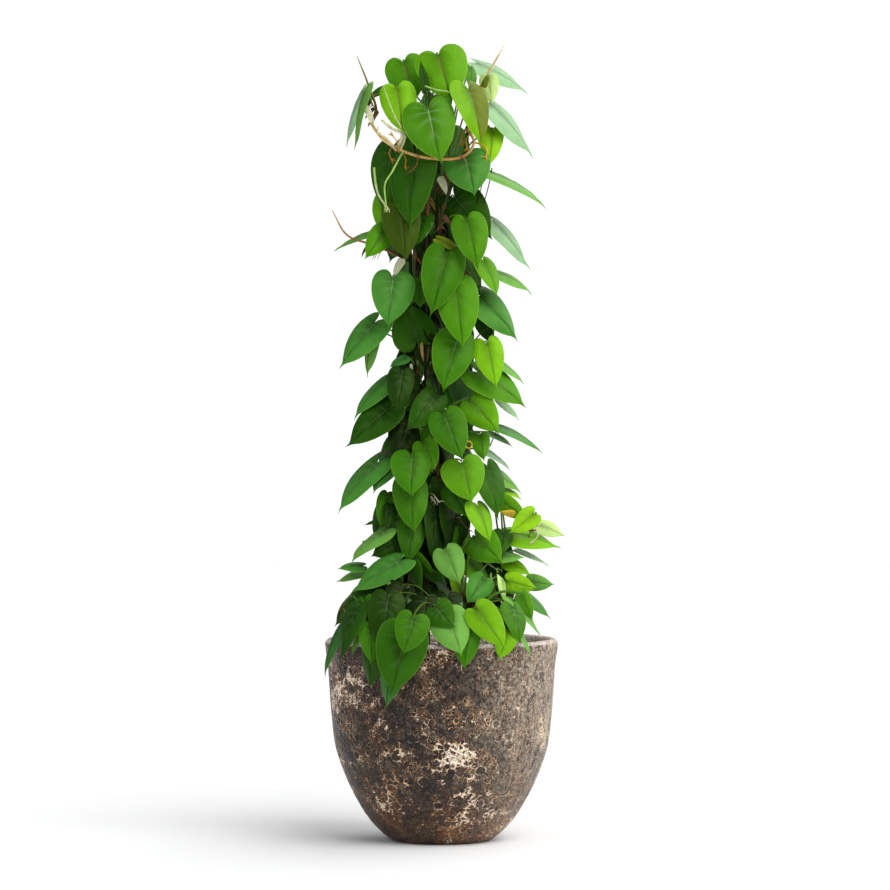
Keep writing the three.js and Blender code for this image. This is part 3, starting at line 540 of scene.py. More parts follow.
class LeafMaker:
    """Turns a leaf's reading or rule into a leaf in its place, as the solids do."""

    BLADE_RATIO = 0.74
    FULL_FACE = 0.84
    ROLL_MARGIN = 20.0

    def from_photo(self, spec: SeenLeaf, shift: float) -> Leaf:
        """Places a leaf read off the photograph, brought forward by a shift.

        Args:
            spec: The leaf's reading.
            shift: How far it was brought toward the eye, in millimetres.

        Returns:
            The leaf without its vine and petiole.
        """
        depth = spec.depth + shift
        sinus = VIEW.point(spec.sinus, depth)
        tip = VIEW.point(spec.tip, depth + spec.lean)
        length = float(np.linalg.norm(tip - sinus))
        along = unit(tip - sinus)
        roll = self.roll(spec.width / (length * self.BLADE_RATIO), sinus)
        outward = 1.0 if sinus[0] > STAKE_X else -1.0
        facing = across_from(unit(np.array(VIEW.eye) - sinus), along)
        sideways = np.cross(facing, along)
        normal = facing * math.cos(roll) + sideways * math.sin(roll) * outward
        width = spec.width / math.cos(roll)
        across = np.cross(normal, along)
        looks = (spec.tone, spec.veins, spec.ruddy, spec.right)
        return Leaf(sinus, along, across, normal, length, width, *looks)

    def roll(self, fullness: float, sinus: Point) -> float:
        """Gives how far a blade is turned from the viewer, in radians."""
        if fullness > self.FULL_FACE:
            return 0.0
        azimuth = math.degrees(math.atan2(abs(sinus[0] - STAKE_X), -sinus[1]))
        return min(math.acos(fullness), math.radians(azimuth + self.ROLL_MARGIN))

    def from_rule(self, rule: RuleLeaf, shift: float) -> Leaf:
        """Places a leaf of the far side, pushed outward by a shift."""
        sinus = around(rule.radius + shift, rule.azimuth, rule.z)
        lean = math.radians(rule.lean)
        reach = rule.radius + shift + rule.length * math.sin(lean)
        tip = around(reach, rule.azimuth + rule.twist, rule.z - rule.length * math.cos(lean))
        along = unit(tip - sinus)
        outward = around(1, rule.azimuth + rule.turn, 0) - around(0, 0, 0)
        normal = across_from(outward, along)
        across = np.cross(normal, along)
        width = rule.length * self.BLADE_RATIO
        return Leaf(sinus, along, across, normal, float(np.linalg.norm(tip - sinus)), width)


def drawn_leaf(vine: str, usual: Sequence[float], spreads: Sequence[float], draw: Draw) -> RuleLeaf:
    """Gives a leaf whose measures are the usual ones, each with a seeded spread of its own."""
    return RuleLeaf(vine, *(np.array(usual) + draw.vector(*spreads)))


def rule_leaves() -> list[RuleLeaf]:
    """Gives the far side's leaves by the same seeded rule as the solids."""
    draw = Draw(RULE_SEED)
    heights, radii = zip(*ENVELOPE)
    leaves = []
    for order, rule in enumerate(LEAF_RULES):
        for i in range(math.ceil((rule.top - rule.low) / rule.step)):
            z = rule.low + i * rule.step
            side = (i + order) % 2
            rim = 1 if z < RIM_BAND else 0
            reach = float(np.interp(z, heights, radii)) * rule.reach[side] + rim * 22
            azimuth = rule.azimuth + (side * 2 - 1) * RULE_SPREAD
            usual = (z, azimuth, reach, 84, 24 + rim * 2, 0, 0)
            leaves.append(drawn_leaf(rule.vine, usual, (8, 9, 8, 22, 10, 8, 38), draw))
    return leaves


class SolidsIndex:
    """Finds where the solids put each leaf, from the corners and faces of the vines' nodes."""

    TIP_TOLERANCE = 0.08
    SURFACE_TOLERANCE = 2.0

    def __init__(self, names: Sequence[str]) -> None:
        """Reads the vines' nodes, given by their names."""
        self.owners: list[str] = []
        corners: list[Vector] = []
        self.surfaces: dict[str, BVHTree] = {}
        for name in names:
            mesh = frame["nodes"][name].data
            places = [vertex.co / MM for vertex in mesh.vertices]
            corners += places
            self.owners += [name] * len(places)
            faces = [tuple(face.vertices) for face in mesh.polygons]
            self.surfaces[name] = BVHTree.FromPolygons(places, faces)
        self.tree = KDTree(len(corners))
        for index, corner in enumerate(corners):
            self.tree.insert(corner, index)
        self.tree.balance()

    def owner(self, corner: Point) -> Optional[str]:
        """Gives the vine that has a corner at a place, if one has."""
        _, index, distance = self.tree.find(Vector(corner))
        return self.owners[index] if distance < self.TIP_TOLERANCE else None

    def holds(self, vine: str, path: Sequence[Point]) -> bool:
        """Says whether a vine's surface runs close along the middles of a path's spans."""
        middles = [(a + b) / 2 for a, b in zip(path, path[1:])]
        found = [self.surfaces[vine].find_nearest(Vector(middle))[3] for middle in middles]
        return max(found) < self.SURFACE_TOLERANCE


class Growth:
    """Repeats the solids' growth: stems first, then each leaf in turn on the vine that carries it."""

    BLADE_HALF = 0.45
    SHIFT_STEP = 4
    MOST_BACK = 84
    ROOT_DROPS = (0, 26, -26, 60)
    PETIOLE_RISE = 22.0
    PETIOLE_NECK = 8.0
    PETIOLE_SETBACK = 5.0
    PETIOLE_BULGE = 0.16
    SHORT_PETIOLE = 52.0

    def __init__(self) -> None:
        """Lays out the stems' lines and reads the solids."""
        self.maker = LeafMaker()
        self.index = SolidsIndex(list(VINES))
        self.lines: dict[str, list[list[Point]]] = {}
        self.roots: dict[str, list[Point]] = {}
        for name, plan in VINES.items():
            stem = [p for p in curve_points(plan.stem, STEM_SAMPLES)[20:118] if p[2] > LOWEST_ROOT]
            shoots = [self.from_stem(stem, points) for points in plan.shoots]
            spikes = [self.from_stem(stem, points) for points in plan.spikes]
            self.lines[name] = [plan.stem, *shoots, *spikes]
            for points, last in [(line, 116) for line in shoots] + [(line, 80) for line in spikes]:
                stem += list(curve_points(points, STEM_SAMPLES)[20:last])
            self.roots[name] = stem
        self.nodes = {name: list(stem) for name, stem in self.roots.items()}

    @staticmethod
    def from_stem(stem: list[Point], points: list[Point]) -> list[Point]:
        """Starts a side line on the stem."""
        return [stem[nearest(stem, points[0])], *points[1:]]

    def leaves(self) -> list[Leaf]:
        """Gives every leaf that the solids hold, where they hold it."""
        grown = []
        draw = Draw(7)
        for spec in SEEN_LEAVES:
            leaf = self.locate(self.maker.from_photo, spec)
            if leaf is not None:
                grown.append(leaf)
        for rule in rule_leaves():
            leaf = self.locate(self.maker.from_rule, rule)
            if leaf is not None:
                leaf.tone = draw.pick([Tone.DEEP, Tone.MID, Tone.MID, Tone.BRIGHT, Tone.BLUISH, Tone.DARK])
                leaf.veins = 0.2 + 0.5 * draw.next()
                grown.append(leaf)
        return grown

    def shifts(self) -> Iterator[int]:
        """Gives the shifts that the solids may have used."""
        yield 0
        for shift in range(self.SHIFT_STEP, self.MOST_BACK + 1, self.SHIFT_STEP):
            yield -shift
            yield shift

    def locate(self, make: Callable[[Any, float], Leaf], source: Any) -> Optional[Leaf]:
        """Finds a leaf's shift and vine by its tip, and its petiole's root by the vine's surface.

        Args:
            make: Makes the leaf from its source, for a shift.
            source: The leaf's reading or rule.

        Returns:
            The leaf with its vine and petiole, or None where the solids don't hold it.
        """
        for shift in self.shifts():
            leaf = make(source, shift)
            vine = self.index.owner(leaf.sinus + leaf.along * leaf.length + leaf.normal * self.BLADE_HALF)
            if vine is not None:
                leaf.vine = vine
                self.root_petiole(leaf)
                return leaf
        return None

    def shade_leaves(self) -> list[Leaf]:
        """Gives the small leaves that stand close to the stems, deep in the column and over the soil, coloured
        near-black as painted shade.
        """
        draw = Draw(23)
        rules = []
        for name, plan in VINES.items():
            foot, head = plan.stem[0], plan.stem[-1]
            azimuth = math.degrees(math.atan2(foot[0] - STAKE_X, -foot[1]))
            for step in range(int((head[2] - 520) / SHADE_STEP)):
                side = 40 if step % 2 else -40
                usual = (440 + step * SHADE_STEP, azimuth + side, 27, 60, 14, 0, 0)
                rules.append(drawn_leaf(name, usual, (14, 16, 8, 12, 9, 8, 40), draw))
            for reach in (62, 104):
                usual = (424, azimuth, reach, 76, 46, 0, 0)
                rules.append(drawn_leaf(name, usual, (16, 24, 14, 12, 8, 8, 30), draw))
        leaves = [self.maker.from_rule(rule, 0) for rule in rules]
        for leaf, rule in zip(leaves, rules):
            # Near-black tones for these leaves: painted shade deep in the column.
            leaf.vine, leaf.tone, leaf.veins = rule.vine, draw.pick([Tone.SHADE, Tone.SHADE, Tone.DARK, Tone.DEEP]), 0.2
        for spec in EXTRA_LEAVES:
            leaf = self.maker.from_photo(spec, 0)
            leaf.vine = self.carrier(leaf.sinus)[0]
            leaves.append(leaf)
        for leaf in leaves:
            roots = self.nodes[leaf.vine]
            wanted = leaf.sinus - np.array([0, 0, self.PETIOLE_RISE])
            leaf.petiole = self.petiole_path(leaf, roots[nearest(roots, wanted)])
        return leaves

    def carrier(self, place: Point) -> tuple[str, Point]:
        """Gives the vine and the point of a stem that lie nearest to a place."""
        choices = {name: nodes[nearest(nodes, place)] for name, nodes in self.nodes.items()}
        name = min(choices, key=lambda key: np.linalg.norm(choices[key] - place))
        return name, choices[name]

    def root_petiole(self, leaf: Leaf) -> None:
        """Gives a leaf the petiole that its vine's surface shows, and takes that root."""
        roots = self.roots[leaf.vine]
        choices = []
        for drop in self.ROOT_DROPS:
            wanted = leaf.sinus - np.array([0, 0, self.PETIOLE_RISE + drop])
            place = nearest(roots, wanted)
            path = self.petiole_path(leaf, roots[place])
            choices.append((place, path))
            if self.index.holds(leaf.vine, path):
                break
        else:
            LOG.info("petiole near %s rooted by guess", np.round(leaf.sinus))
        place, leaf.petiole = choices[-1] if len(choices) < len(self.ROOT_DROPS) else choices[0]
        roots.pop(place)

    def petiole_path(self, leaf: Leaf, root: Point) -> list[Point]:
        """Gives a petiole's centre line from just behind the notch to its root."""
        neck = leaf.sinus - leaf.along * self.PETIOLE_NECK - leaf.normal * self.PETIOLE_SETBACK
        reach = float(np.linalg.norm(neck - root))
        if reach < self.SHORT_PETIOLE:
            return [neck, root]
        middle = (neck + root) / 2 + np.array([0, 0, reach * self.PETIOLE_BULGE])
        return [neck, middle, root]


def find_socket(sockets: Any, key: Any) -> NodeSocket:
    """Finds a node's socket by its number, by its identifier, or else by its name."""
    if isinstance(key, int):
        return sockets[key]
    found = [socket for socket in sockets if socket.identifier == key]
    return (found + [socket for socket in sockets if socket.name == key and socket.enabled])[0]


class Value:
    """A node's output that is reckoned with like a number, each step by a Math node."""

    def __init__(self, nodes: "Nodes", socket: NodeSocket) -> None:
        """Keeps the output and the nodes that its steps join."""
        self.nodes = nodes
        self.socket = socket

    def __mul__(self, other: Any) -> "Value":
        """Multiplies by another value."""
        return self.nodes.math("MULTIPLY", self, other)

    def __add__(self, other: Any) -> "Value":
        """Adds another value."""
        return self.nodes.math("ADD", self, other)

    def __sub__(self, other: Any) -> "Value":
        """Takes another value away."""
        return self.nodes.math("SUBTRACT", self, other)


class Nodes:
    """A node tree with short ways to add, feed and join its nodes."""

    def __init__(self, tree: NodeTree) -> None:
        """Keeps the tree that nodes are added to."""
        self.tree = tree

    def add(self, kind: str, inputs: Optional[dict[str, Any]] = None, **settings: Any) -> Node:
        """Adds a node.

        Args:
            kind: The node's type name.
            inputs: Values or sockets for the node's inputs, by identifier or name.
            settings: Values for the node's own properties.

        Returns:
            The new node.
        """
        node = self.tree.nodes.new(kind)
        place = len(self.tree.nodes)
        node.location = (200 * (place // 4), -180 * (place % 4))
        for name, value in settings.items():
            setattr(node, name, value)
        for key, value in (inputs or {}).items():
            self.feed(find_socket(node.inputs, key), value)
        return node

    def get(self, kind: str, output: Any, inputs: Optional[dict[str, Any]] = None, **settings: Any) -> Value:
        """Adds a node and gives one of its outputs, by number, identifier or name."""
        return Value(self, find_socket(self.add(kind, inputs, **settings).outputs, output))

    def values(self, node: Node) -> dict[str, Value]:
        """Gives a node's outputs by their names."""
        return {socket.name: Value(self, socket) for socket in node.outputs}

    def feed(self, target: NodeSocket, value: Any) -> None:
        """Gives a socket a value or a link."""
        if isinstance(value, Value):
            self.tree.links.new(value.socket, target)
        elif isinstance(value, tuple) and len(value) == 3 and target.type == "RGBA":
            target.default_value = (*value, 1.0)
        else:
            target.default_value = value

    def math(self, operation: str, a: Any, b: Any = 0.0, clamp: bool = False) -> Value:
        """Adds a calculation of one or two values."""
        return self.get("ShaderNodeMath", 0, {"Value": a, "Value_001": b}, operation=operation, use_clamp=clamp)

    def most(self, a: Any, b: Any) -> Value:
        """Gives the larger of two values."""
        return self.math("MAXIMUM", a, b)

    def fit(self, value: Any, low: float, high: float, first: float = 0.0, last: float = 1.0) -> Value:
        """Maps a value smoothly from low..high to first..last and holds it there."""
        inputs = {"Value": value, "From Min": low, "From Max": high, "To Min": first, "To Max": last}
        return self.get("ShaderNodeMapRange", 0, inputs, interpolation_type="SMOOTHSTEP")

    def mix(self, factor: Any, a: Any, b: Any) -> Value:
        """Mixes two colours."""
        inputs = {"Factor_Float": factor, "A_Color": a, "B_Color": b}
        return self.get("ShaderNodeMix", "Result_Color", inputs, data_type="RGBA")

    def ramp(self, value: Any, stops: Sequence[tuple[float, Colour]]) -> Value:
        """Turns a value into a colour by a row of stops."""
        node = self.add("ShaderNodeValToRGB", {"Fac": value})
        while len(node.color_ramp.elements) < len(stops):
            node.color_ramp.elements.new(0.5)
        for element, (position, colour) in zip(node.color_ramp.elements, stops):
            element.position, element.color = position, (*colour, 1.0)
        return Value(self, node.outputs["Color"])

    def noise(self, vector: Any, scale: Any, detail: float = 3.0, roughness: float = 0.55) -> Value:
        """Adds a soft fractal noise."""
        inputs = {"Vector": vector, "Scale": scale, "Detail": detail, "Roughness": roughness}
        return self.get("ShaderNodeTexNoise", "Fac", inputs)

    def cells(self, vector: Any, scale: Any, output: str = "Distance", feature: str = "F1") -> Value:
        """Adds a net of irregular cells."""
        return self.get("ShaderNodeTexVoronoi", output, {"Vector": vector, "Scale": scale}, feature=feature)

    def stretch(self, vector: Any, scale: Triple) -> Value:
        """Stretches a pattern's coordinates."""
        return self.get("ShaderNodeMapping", 0, {"Vector": vector, "Scale": scale})

    def vectors(self, operation: str, a: Any, b: Any) -> Value:
        """Adds a calculation of two vectors."""
        return self.get("ShaderNodeVectorMath", 0, {"Vector": a, "Vector_001": b}, operation=operation)

    def scaled(self, vector: Any, factor: Any) -> Value:
        """Multiplies a vector or colour by a number."""
        return self.get("ShaderNodeVectorMath", 0, {"Vector": vector, "Scale": factor}, operation="SCALE")

    def split(self, vector: Any) -> list[Value]:
        """Splits a vector in its three numbers."""
        return list(self.values(self.add("ShaderNodeSeparateXYZ", {"Vector": vector})).values())

    def attribute(self, name: str, output: str) -> Value:
        """Reads a named attribute of the surface."""
        return self.get("ShaderNodeAttribute", output, attribute_name=name)

    def from_middle(self, across: Value) -> Value:
        """Gives how far a place of a blade's map lies from the midrib, 0 to 1."""
        return self.math("ABSOLUTE", across - 0.5) * 2.0


def add_sockets(tree: NodeTree, inputs: dict[str, tuple[str, Any]], outputs: dict[str, str]) -> dict[str, str]:
    """Gives a tree its sockets.

    Args:
        tree: The tree.
        inputs: The kind and default of each input, by name.
        outputs: The kind of each output, by name.

    Returns:
        Each input's identifier, by name.
    """
    keys = {}
    for key, (kind, default) in inputs.items():
        socket = tree.interface.new_socket(key, in_out="INPUT", socket_type=f"NodeSocket{kind}")
        keys[key] = socket.identifier
        if default is not None:
            socket.default_value = default
    for key, kind in outputs.items():
        tree.interface.new_socket(key, in_out="OUTPUT", socket_type=f"NodeSocket{kind}")
    return keys


class Effect:
    """A shader node group with named inputs and outputs, built once and shared by the finishes."""

    def __init__(self, name: str, inputs: dict[str, tuple[str, Any]], outputs: dict[str, str]) -> None:
        """Starts the group with its named sockets."""
        self.group = bpy.data.node_groups.new(name, "ShaderNodeTree")
        self.nodes = Nodes(self.group)
        add_sockets(self.group, inputs, outputs)
        self.start = self.nodes.values(self.nodes.add("NodeGroupInput"))
        self.end = self.nodes.add("NodeGroupOutput")

    def close(self, values: Sequence[Value]) -> NodeTree:
        """Feeds the outputs in their order and gives the group."""
        for socket, value in zip(self.end.inputs, values):
            self.nodes.feed(socket, value)
        return self.group


@cache
def mottling() -> NodeTree:
    """Makes the group that varies a colour in soft patches and finer specks."""
    grey = (0.5, 0.5, 0.5, 1.0)
    inputs = {"Vector": ("Vector", None), "Colour": ("Color", grey), "Scale": ("Float", 20.0), "Depth": ("Float", 0.3)}
    effect = Effect("Mottling", inputs, {"Colour": "Color", "Value": "Float"})
    nodes, start = effect.nodes, effect.start
    patches = nodes.noise(start["Vector"], start["Scale"], 2.0)
    specks = nodes.noise(start["Vector"], start["Scale"] * 9.0, 3.0)
    value = patches * 0.7 + specks * 0.3
    factor = (value - 0.5) * 3.2 * start["Depth"] + 1.0
    return effect.close([nodes.scaled(start["Colour"], factor), value])


@cache
def fine_grain() -> NodeTree:
    """Makes the group that gives the height of a fine grain, stretched along one direction."""
    inputs = {"Vector": ("Vector", None), "Scale": ("Float", 800.0), "Stretch": ("Vector", (1.0, 1.0, 1.0))}
    effect = Effect("Fine grain", inputs, {"Height": "Float"})
    nodes, start = effect.nodes, effect.start
    stretched = nodes.vectors("MULTIPLY", start["Vector"], start["Stretch"])
    noise = nodes.noise(stretched, start["Scale"], 4.0, 0.6)
    return effect.close([noise * 0.6 + nodes.cells(stretched, start["Scale"]) * 0.4])


@cache
def leaf_veins() -> NodeTree:
    """Makes the group that draws midrib, side veins, fine veins and margin from a blade's own map."""
    outputs = dict.fromkeys(("Midrib", "Side veins", "Fine veins", "Margin"), "Float")
    effect = Effect("Leaf veins", {"Map": ("Vector", None), "Step": ("Float", 1.0)}, outputs)
    nodes = effect.nodes
    across, along, _ = nodes.split(effect.start["Map"])
    reach = nodes.from_middle(across)
    row = nodes.math("DIVIDE", along * 11.0, effect.start["Step"])
    from_vein = nodes.math("PINGPONG", row, 0.5)
    glow = nodes.fit(from_vein, 0.0, 0.3, 0.5, 0.0)
    side = nodes.most(nodes.fit(from_vein, 0.008, 0.04, 1.0, 0.0) * 0.9, glow)
    side = side * nodes.fit(reach, 0.2, 0.82, 1.0, 0.0) * nodes.fit(along, 0.3, 1.0, 1.0, 0.1)
    fine = nodes.fit(nodes.math("PINGPONG", row * 6.0, 0.5), 0.02, 0.3, 1.0, 0.0)
    return effect.close([nodes.fit(reach, 0.012, 0.04, 1.0, 0.0), side, fine, nodes.fit(reach, 0.966, 0.988)])


class Finish:
    """Shared steps of the finishes: a material with one Principled shader."""

    def __init__(self, name: str) -> None:
        """Starts a material of a name."""
        self.material = bpy.data.materials.new(name)
        self.material.use_nodes = True
        self.nodes = Nodes(self.material.node_tree)
        self.shader = self.material.node_tree.nodes["Principled BSDF"]
        self.place = self.nodes.get("ShaderNodeTexCoord", "Object")

    def done(self, **values: Any) -> Material:
        """Feeds the shader's inputs, spaces written as underscores, and gives the material."""
        for name, value in values.items():
            self.nodes.feed(self.shader.inputs[name.replace("_", " ")], value)
        return self.material

    def use(self, group: NodeTree, inputs: dict[str, Any]) -> dict[str, Value]:
        """Places a shared effect and gives its outputs."""
        return self.nodes.values(self.nodes.add("ShaderNodeGroup", inputs, node_tree=group))

    def mottled(self, colour: Any, scale: float, depth: float, place: Optional[Value] = None) -> dict[str, Value]:
        """Varies a colour in patches and specks, over the surface's own place or another."""
        inputs = {"Vector": place or self.place, "Colour": colour, "Scale": scale, "Depth": depth}
        return self.use(mottling(), inputs)

    def bump(self, height: Any, distance: float, strength: float = 1.0, under: Optional[Value] = None) -> Value:
        """Adds a relief of a height in metres, over another relief where one is given."""
        inputs = {"Height": height, "Distance": distance, "Strength": strength}
        return self.nodes.get("ShaderNodeBump", "Normal", inputs | ({"Normal": under} if under else {}))

    def grain(self, scale: float, place: Optional[Value] = None, **more: Any) -> Value:
        """Gives the height of a fine grain."""
        return self.use(fine_grain(), {"Vector": place or self.place, "Scale": scale, **more})["Height"]


@dataclass(frozen=True)
class LeafFinish:
    """Waxy blades: each leaf's tone with painted shade toward the midrib and notch, paler veins, a thin yellow-green
    margin, a dull underside.
    """

    pale_vein: Colour = linear(176, 214, 150)
    margin: Colour = linear(150, 196, 60)
    underside: Colour = linear(110, 150, 92)
    ruddy_rib: Colour = linear(126, 84, 42)
    gloss: Colour = (0.7, 1.0, 0.3)
    roughness: float = 0.38
    specular: float = 0.2

    def material(self) -> Material:
        """Builds the material."""
        finish = Finish("waxy leaf")
        nodes = finish.nodes
        blade_map = nodes.get("ShaderNodeUVMap", "UV", uv_map="blade")
        tone = nodes.attribute("tone", "Color")
        ruddy, veins, under_mark = nodes.split(nodes.attribute("marks", "Vector"))
        masks = finish.use(leaf_veins(), {"Map": blade_map, "Step": VEIN_STEP})
        midrib, side, fine = (masks[name] for name in ("Midrib", "Side veins", "Fine veins"))
        under = nodes.math("GREATER_THAN", under_mark, 0.5)
        mottled = finish.mottled(tone, 26.0, 0.26)
        across, along, _ = nodes.split(blade_map)
        # Painted shade: each blade darkens toward its midrib fold and its notch.
        inner = nodes.fit(nodes.from_middle(across) + along * 0.4, 0.0, 0.8, 0.8, 0.0)
        colour = nodes.mix(inner, mottled["Colour"], nodes.scaled(tone, 0.34))
        lines = nodes.math("ADD", midrib * 0.6 + side * 0.55, fine * 0.035, clamp=True)
        bright = nodes.math("MULTIPLY", nodes.split(tone)[1], 4.5, clamp=True)
        colour = nodes.mix(lines * nodes.most(veins, 0.0), colour, nodes.mix(0.5, tone, self.pale_vein))
        colour = nodes.mix(lines * nodes.most(veins * -1.0, 0.0), colour, nodes.scaled(tone, 0.4))
        colour = nodes.mix(midrib * ruddy, colour, self.ruddy_rib)
        colour = nodes.mix(masks["Margin"] * (bright * 0.4), colour, self.margin)
        colour = nodes.mix(under * 0.5, colour, self.underside)
        rough = mottled["Value"] * 0.16 + (self.roughness - 0.08) + under * 0.2
        relief = finish.bump(side * -0.7 + midrib * -0.15 + fine * -0.12, 0.001)
        relief = finish.bump(finish.grain(900.0), 0.00005, 0.6, relief)
        finish.done(Base_Color=colour, Roughness=rough, Normal=relief)
        return finish.done(Specular_IOR_Level=self.specular, Specular_Tint=self.gloss)


@dataclass(frozen=True)
class PaperFinish:
    """Dried sheaths: papery, streaked along their length and browned at the margin."""

    brown: Colour = linear(96, 62, 32)

    def material(self) -> Material:
        """Builds the material."""
        finish = Finish("dried sheath")
        nodes = finish.nodes
        blade_map = nodes.get("ShaderNodeUVMap", "UV", uv_map="blade")
        mottled = finish.mottled(nodes.attribute("tone", "Color"), 70.0, 0.7)
        ribs = nodes.noise(nodes.stretch(blade_map, (30.0, 1.2, 1.0)), 1.0, 2.0)
        masks = finish.use(leaf_veins(), {"Map": blade_map, "Step": 3.0})
        brown = nodes.fit(ribs, 0.5, 0.7, 0.0, 0.6) + masks["Margin"] * 0.4
        colour = nodes.mix(brown, mottled["Colour"], self.brown)
        relief = finish.bump(ribs, 0.0006)
        return finish.done(Base_Color=colour, Normal=relief, Roughness=ribs * 0.3 + 0.5, Specular_IOR_Level=0.2)


@dataclass(frozen=True)
class StalkFinish:
    """Stems, petioles, roots and sheaths: their own tone with streaks, dull and finely ribbed."""

    streak: Colour = linear(58, 44, 26)
    roughness: float = 0.55

    def material(self) -> Material:
        """Builds the material."""
        finish = Finish("stalk skin")
        nodes = finish.nodes
        mottled = finish.mottled(nodes.attribute("tone", "Color"), 90.0, 0.5)
        streaks = nodes.noise(nodes.stretch(finish.place, (1.0, 1.0, 0.16)), 520.0, 4.0)
        colour = nodes.mix(nodes.fit(streaks, 0.56, 0.72, 0.0, 0.5), mottled["Colour"], self.streak)
        relief = finish.bump(finish.grain(900.0, Stretch=(1.0, 1.0, 0.2)), 0.0004)
        rough = streaks * 0.25 + (self.roughness - 0.12)
        return finish.done(Base_Color=colour, Roughness=rough, Normal=relief, Specular_IOR_Level=0.2)


@dataclass(frozen=True)
class GlazeFinish:
    """Cratered stoneware: dark burst cells with painted shade at their borders in a thin tan and cream net, painted
    light on the right side, a pale worn rim, a warm foot.
    """

    cell_dark: Colour = linear(26, 21, 18)
    cell_brown: Colour = linear(62, 45, 33)
    cell_grey: Colour = linear(92, 78, 64)
    # Painted shade at each cell's border, where the cell's surface dips to the net.
    cell_border_shade: Colour = linear(20, 16, 14)
    crater: Colour = linear(54, 37, 26)
    rust: Colour = linear(112, 68, 34)
    net_brown: Colour = linear(140, 96, 58)
    net_tan: Colour = linear(204, 164, 122)
    net_cream: Colour = linear(238, 218, 194)
    rim: Colour = linear(232, 216, 204)
    # pale: painted light for the right side, toward the key lamp.
    pale: Colour = linear(178, 160, 138)
    fine_cell: float = 190.0
    middle_cell: float = 105.0

    def material(self) -> Material:
        """Builds the material."""
        finish = Finish("crater glaze")
        nodes = finish.nodes
        place = nodes.attribute("glaze_place", "Vector")
        x, _, z = nodes.split(place)
        bent = bent_place(nodes, place)
        centre_left = nodes.fit(x, 0.09, 0.0) * nodes.fit(z, 0.26, 0.18)
        open_here = nodes.fit(nodes.noise(place, 9.0, 3.0) + centre_left * 0.06, 0.53, 0.58)
        nets = [self.net(nodes, bent, scale) for scale in (self.fine_cell, self.middle_cell)]
        edge, luck = (nodes.mix(open_here, fine, middle) for fine, middle in zip(*nets))
        cell = nodes.ramp(luck, [(0.1, self.cell_dark), (0.5, self.cell_brown), (0.95, self.cell_grey)])
        rusty = nodes.fit(nodes.noise(place, 16.0, 4.0), 0.42, 0.66)
        warm = nodes.most(nodes.fit(x, 0.02, -0.19, 0.0, 0.6), nodes.fit(z, 0.12, 0.01, 0.1, 0.9))
        cell = nodes.mix(rusty * warm, cell, self.rust)
        # Painted shade: each cell darkens toward its border.
        cell = nodes.mix(nodes.fit(edge, 0.03, 0.2, 0.75, 0.0), cell, self.cell_border_shade)
        cream_here = nodes.fit(nodes.noise(place, 10.0, 5.0, 0.7), 0.555, 0.64)
        net_here = nodes.most(nodes.fit(nodes.noise(place, 26.0, 6.0, 0.75), 0.44, 0.6), cream_here)
        ragged = nodes.fit(nodes.noise(place, 420.0, 3.0), 0.3, 0.7, 0.25, 1.7)
        line = nodes.math("LESS_THAN", edge, (net_here * 0.07 + cream_here * 0.16) * ragged)
        tint = nodes.noise(place, 90.0, 4.0, 0.6)
        tan = nodes.mix(nodes.fit(tint, 0.36, 0.6), self.net_brown, self.net_tan)
        net = nodes.mix(nodes.most(cream_here, nodes.fit(tint, 0.56, 0.64)), tan, self.net_cream)
        hole, ring = crater_masks(nodes, bent)
        colour = nodes.mix(ring * net_here * 0.8, nodes.mix(line, cell, net), self.net_cream)
        colour = nodes.mix(hole * 0.9, colour, self.crater)
        colour = self.weather_and_painted_light(nodes, colour, place, x, z)
        relief = finish.bump(nodes.fit(edge, 0.0, 0.42) - hole * 0.4 + line * 0.5, 0.0026)
        relief = finish.bump(finish.grain(700.0, place), 0.0004, 0.8, relief)
        colour = finish.mottled(colour, 320.0, 0.9, place)["Colour"]
        return finish.done(Base_Color=colour, Roughness=line * 0.3 + 0.34, Normal=relief, Specular_IOR_Level=0.35)

    @staticmethod
    def net(nodes: Nodes, place: Value, scale: float) -> tuple[Value, Value]:
        """Gives a cell net's distance to the edge and each cell's own number."""
        edge = nodes.cells(place, scale, feature="DISTANCE_TO_EDGE")
        return edge, nodes.split(nodes.cells(place, scale, "Color"))[0]

    def weather_and_painted_light(self, nodes: Nodes, colour: Value, place: Value, x: Value, z: Value) -> Value:
        """Paints light on the right side and the upper right, toward the key lamp, pales the rim, and warms the foot.
        """
        streaks = nodes.noise(nodes.stretch(place, (1.0, 1.0, 0.25)), 70.0, 5.0, 0.65)
        # Painted light: the right side, toward the key lamp, is paled in streaks.
        right = nodes.fit(x, 0.03, 0.19) * nodes.fit(streaks, 0.38, 0.62, 0.1, 1.0)
        colour = nodes.mix(right * 0.62, colour, self.pale)
        foot = nodes.fit(z, 0.09, 0.0) * nodes.fit(streaks, 0.35, 0.65, 0.15, 0.8)
        colour = nodes.mix(foot * 0.6, colour, self.rust)
        specks = nodes.fit(nodes.noise(place, 150.0, 4.0, 0.7), 0.44, 0.6)
        # Painted light: cream specks brighten the upper right.
        lit_upper_right = nodes.fit(x, 0.0, 0.17) * nodes.fit(z, 0.0, 0.3, 0.35, 1.0)
        colour = nodes.mix(lit_upper_right * specks * 0.5, colour, self.net_cream)
        worn = nodes.fit(z + streaks * 0.004, 0.3395, 0.344)
        colour = nodes.mix(worn * 0.88, colour, self.rim)
        flat = nodes.stretch(place, (1.0, 1.0, 0.0))
        radius = nodes.get("ShaderNodeVectorMath", "Value", {"Vector": flat}, operation="LENGTH")
        bare = nodes.fit(radius, 0.1935, 0.19) * nodes.fit(z, 0.3, 0.33)
        return nodes.mix(bare * 0.85, colour, self.rim)


def bent_place(nodes: Nodes, place: Value) -> Value:
    """Bends a place a little, so that cells drawn on it come out irregular."""
    wobble = nodes.get("ShaderNodeTexNoise", "Color", {"Vector": place, "Scale": 60.0, "Detail": 2.0})
    return nodes.vectors("ADD", place, nodes.scaled(wobble, 0.007))


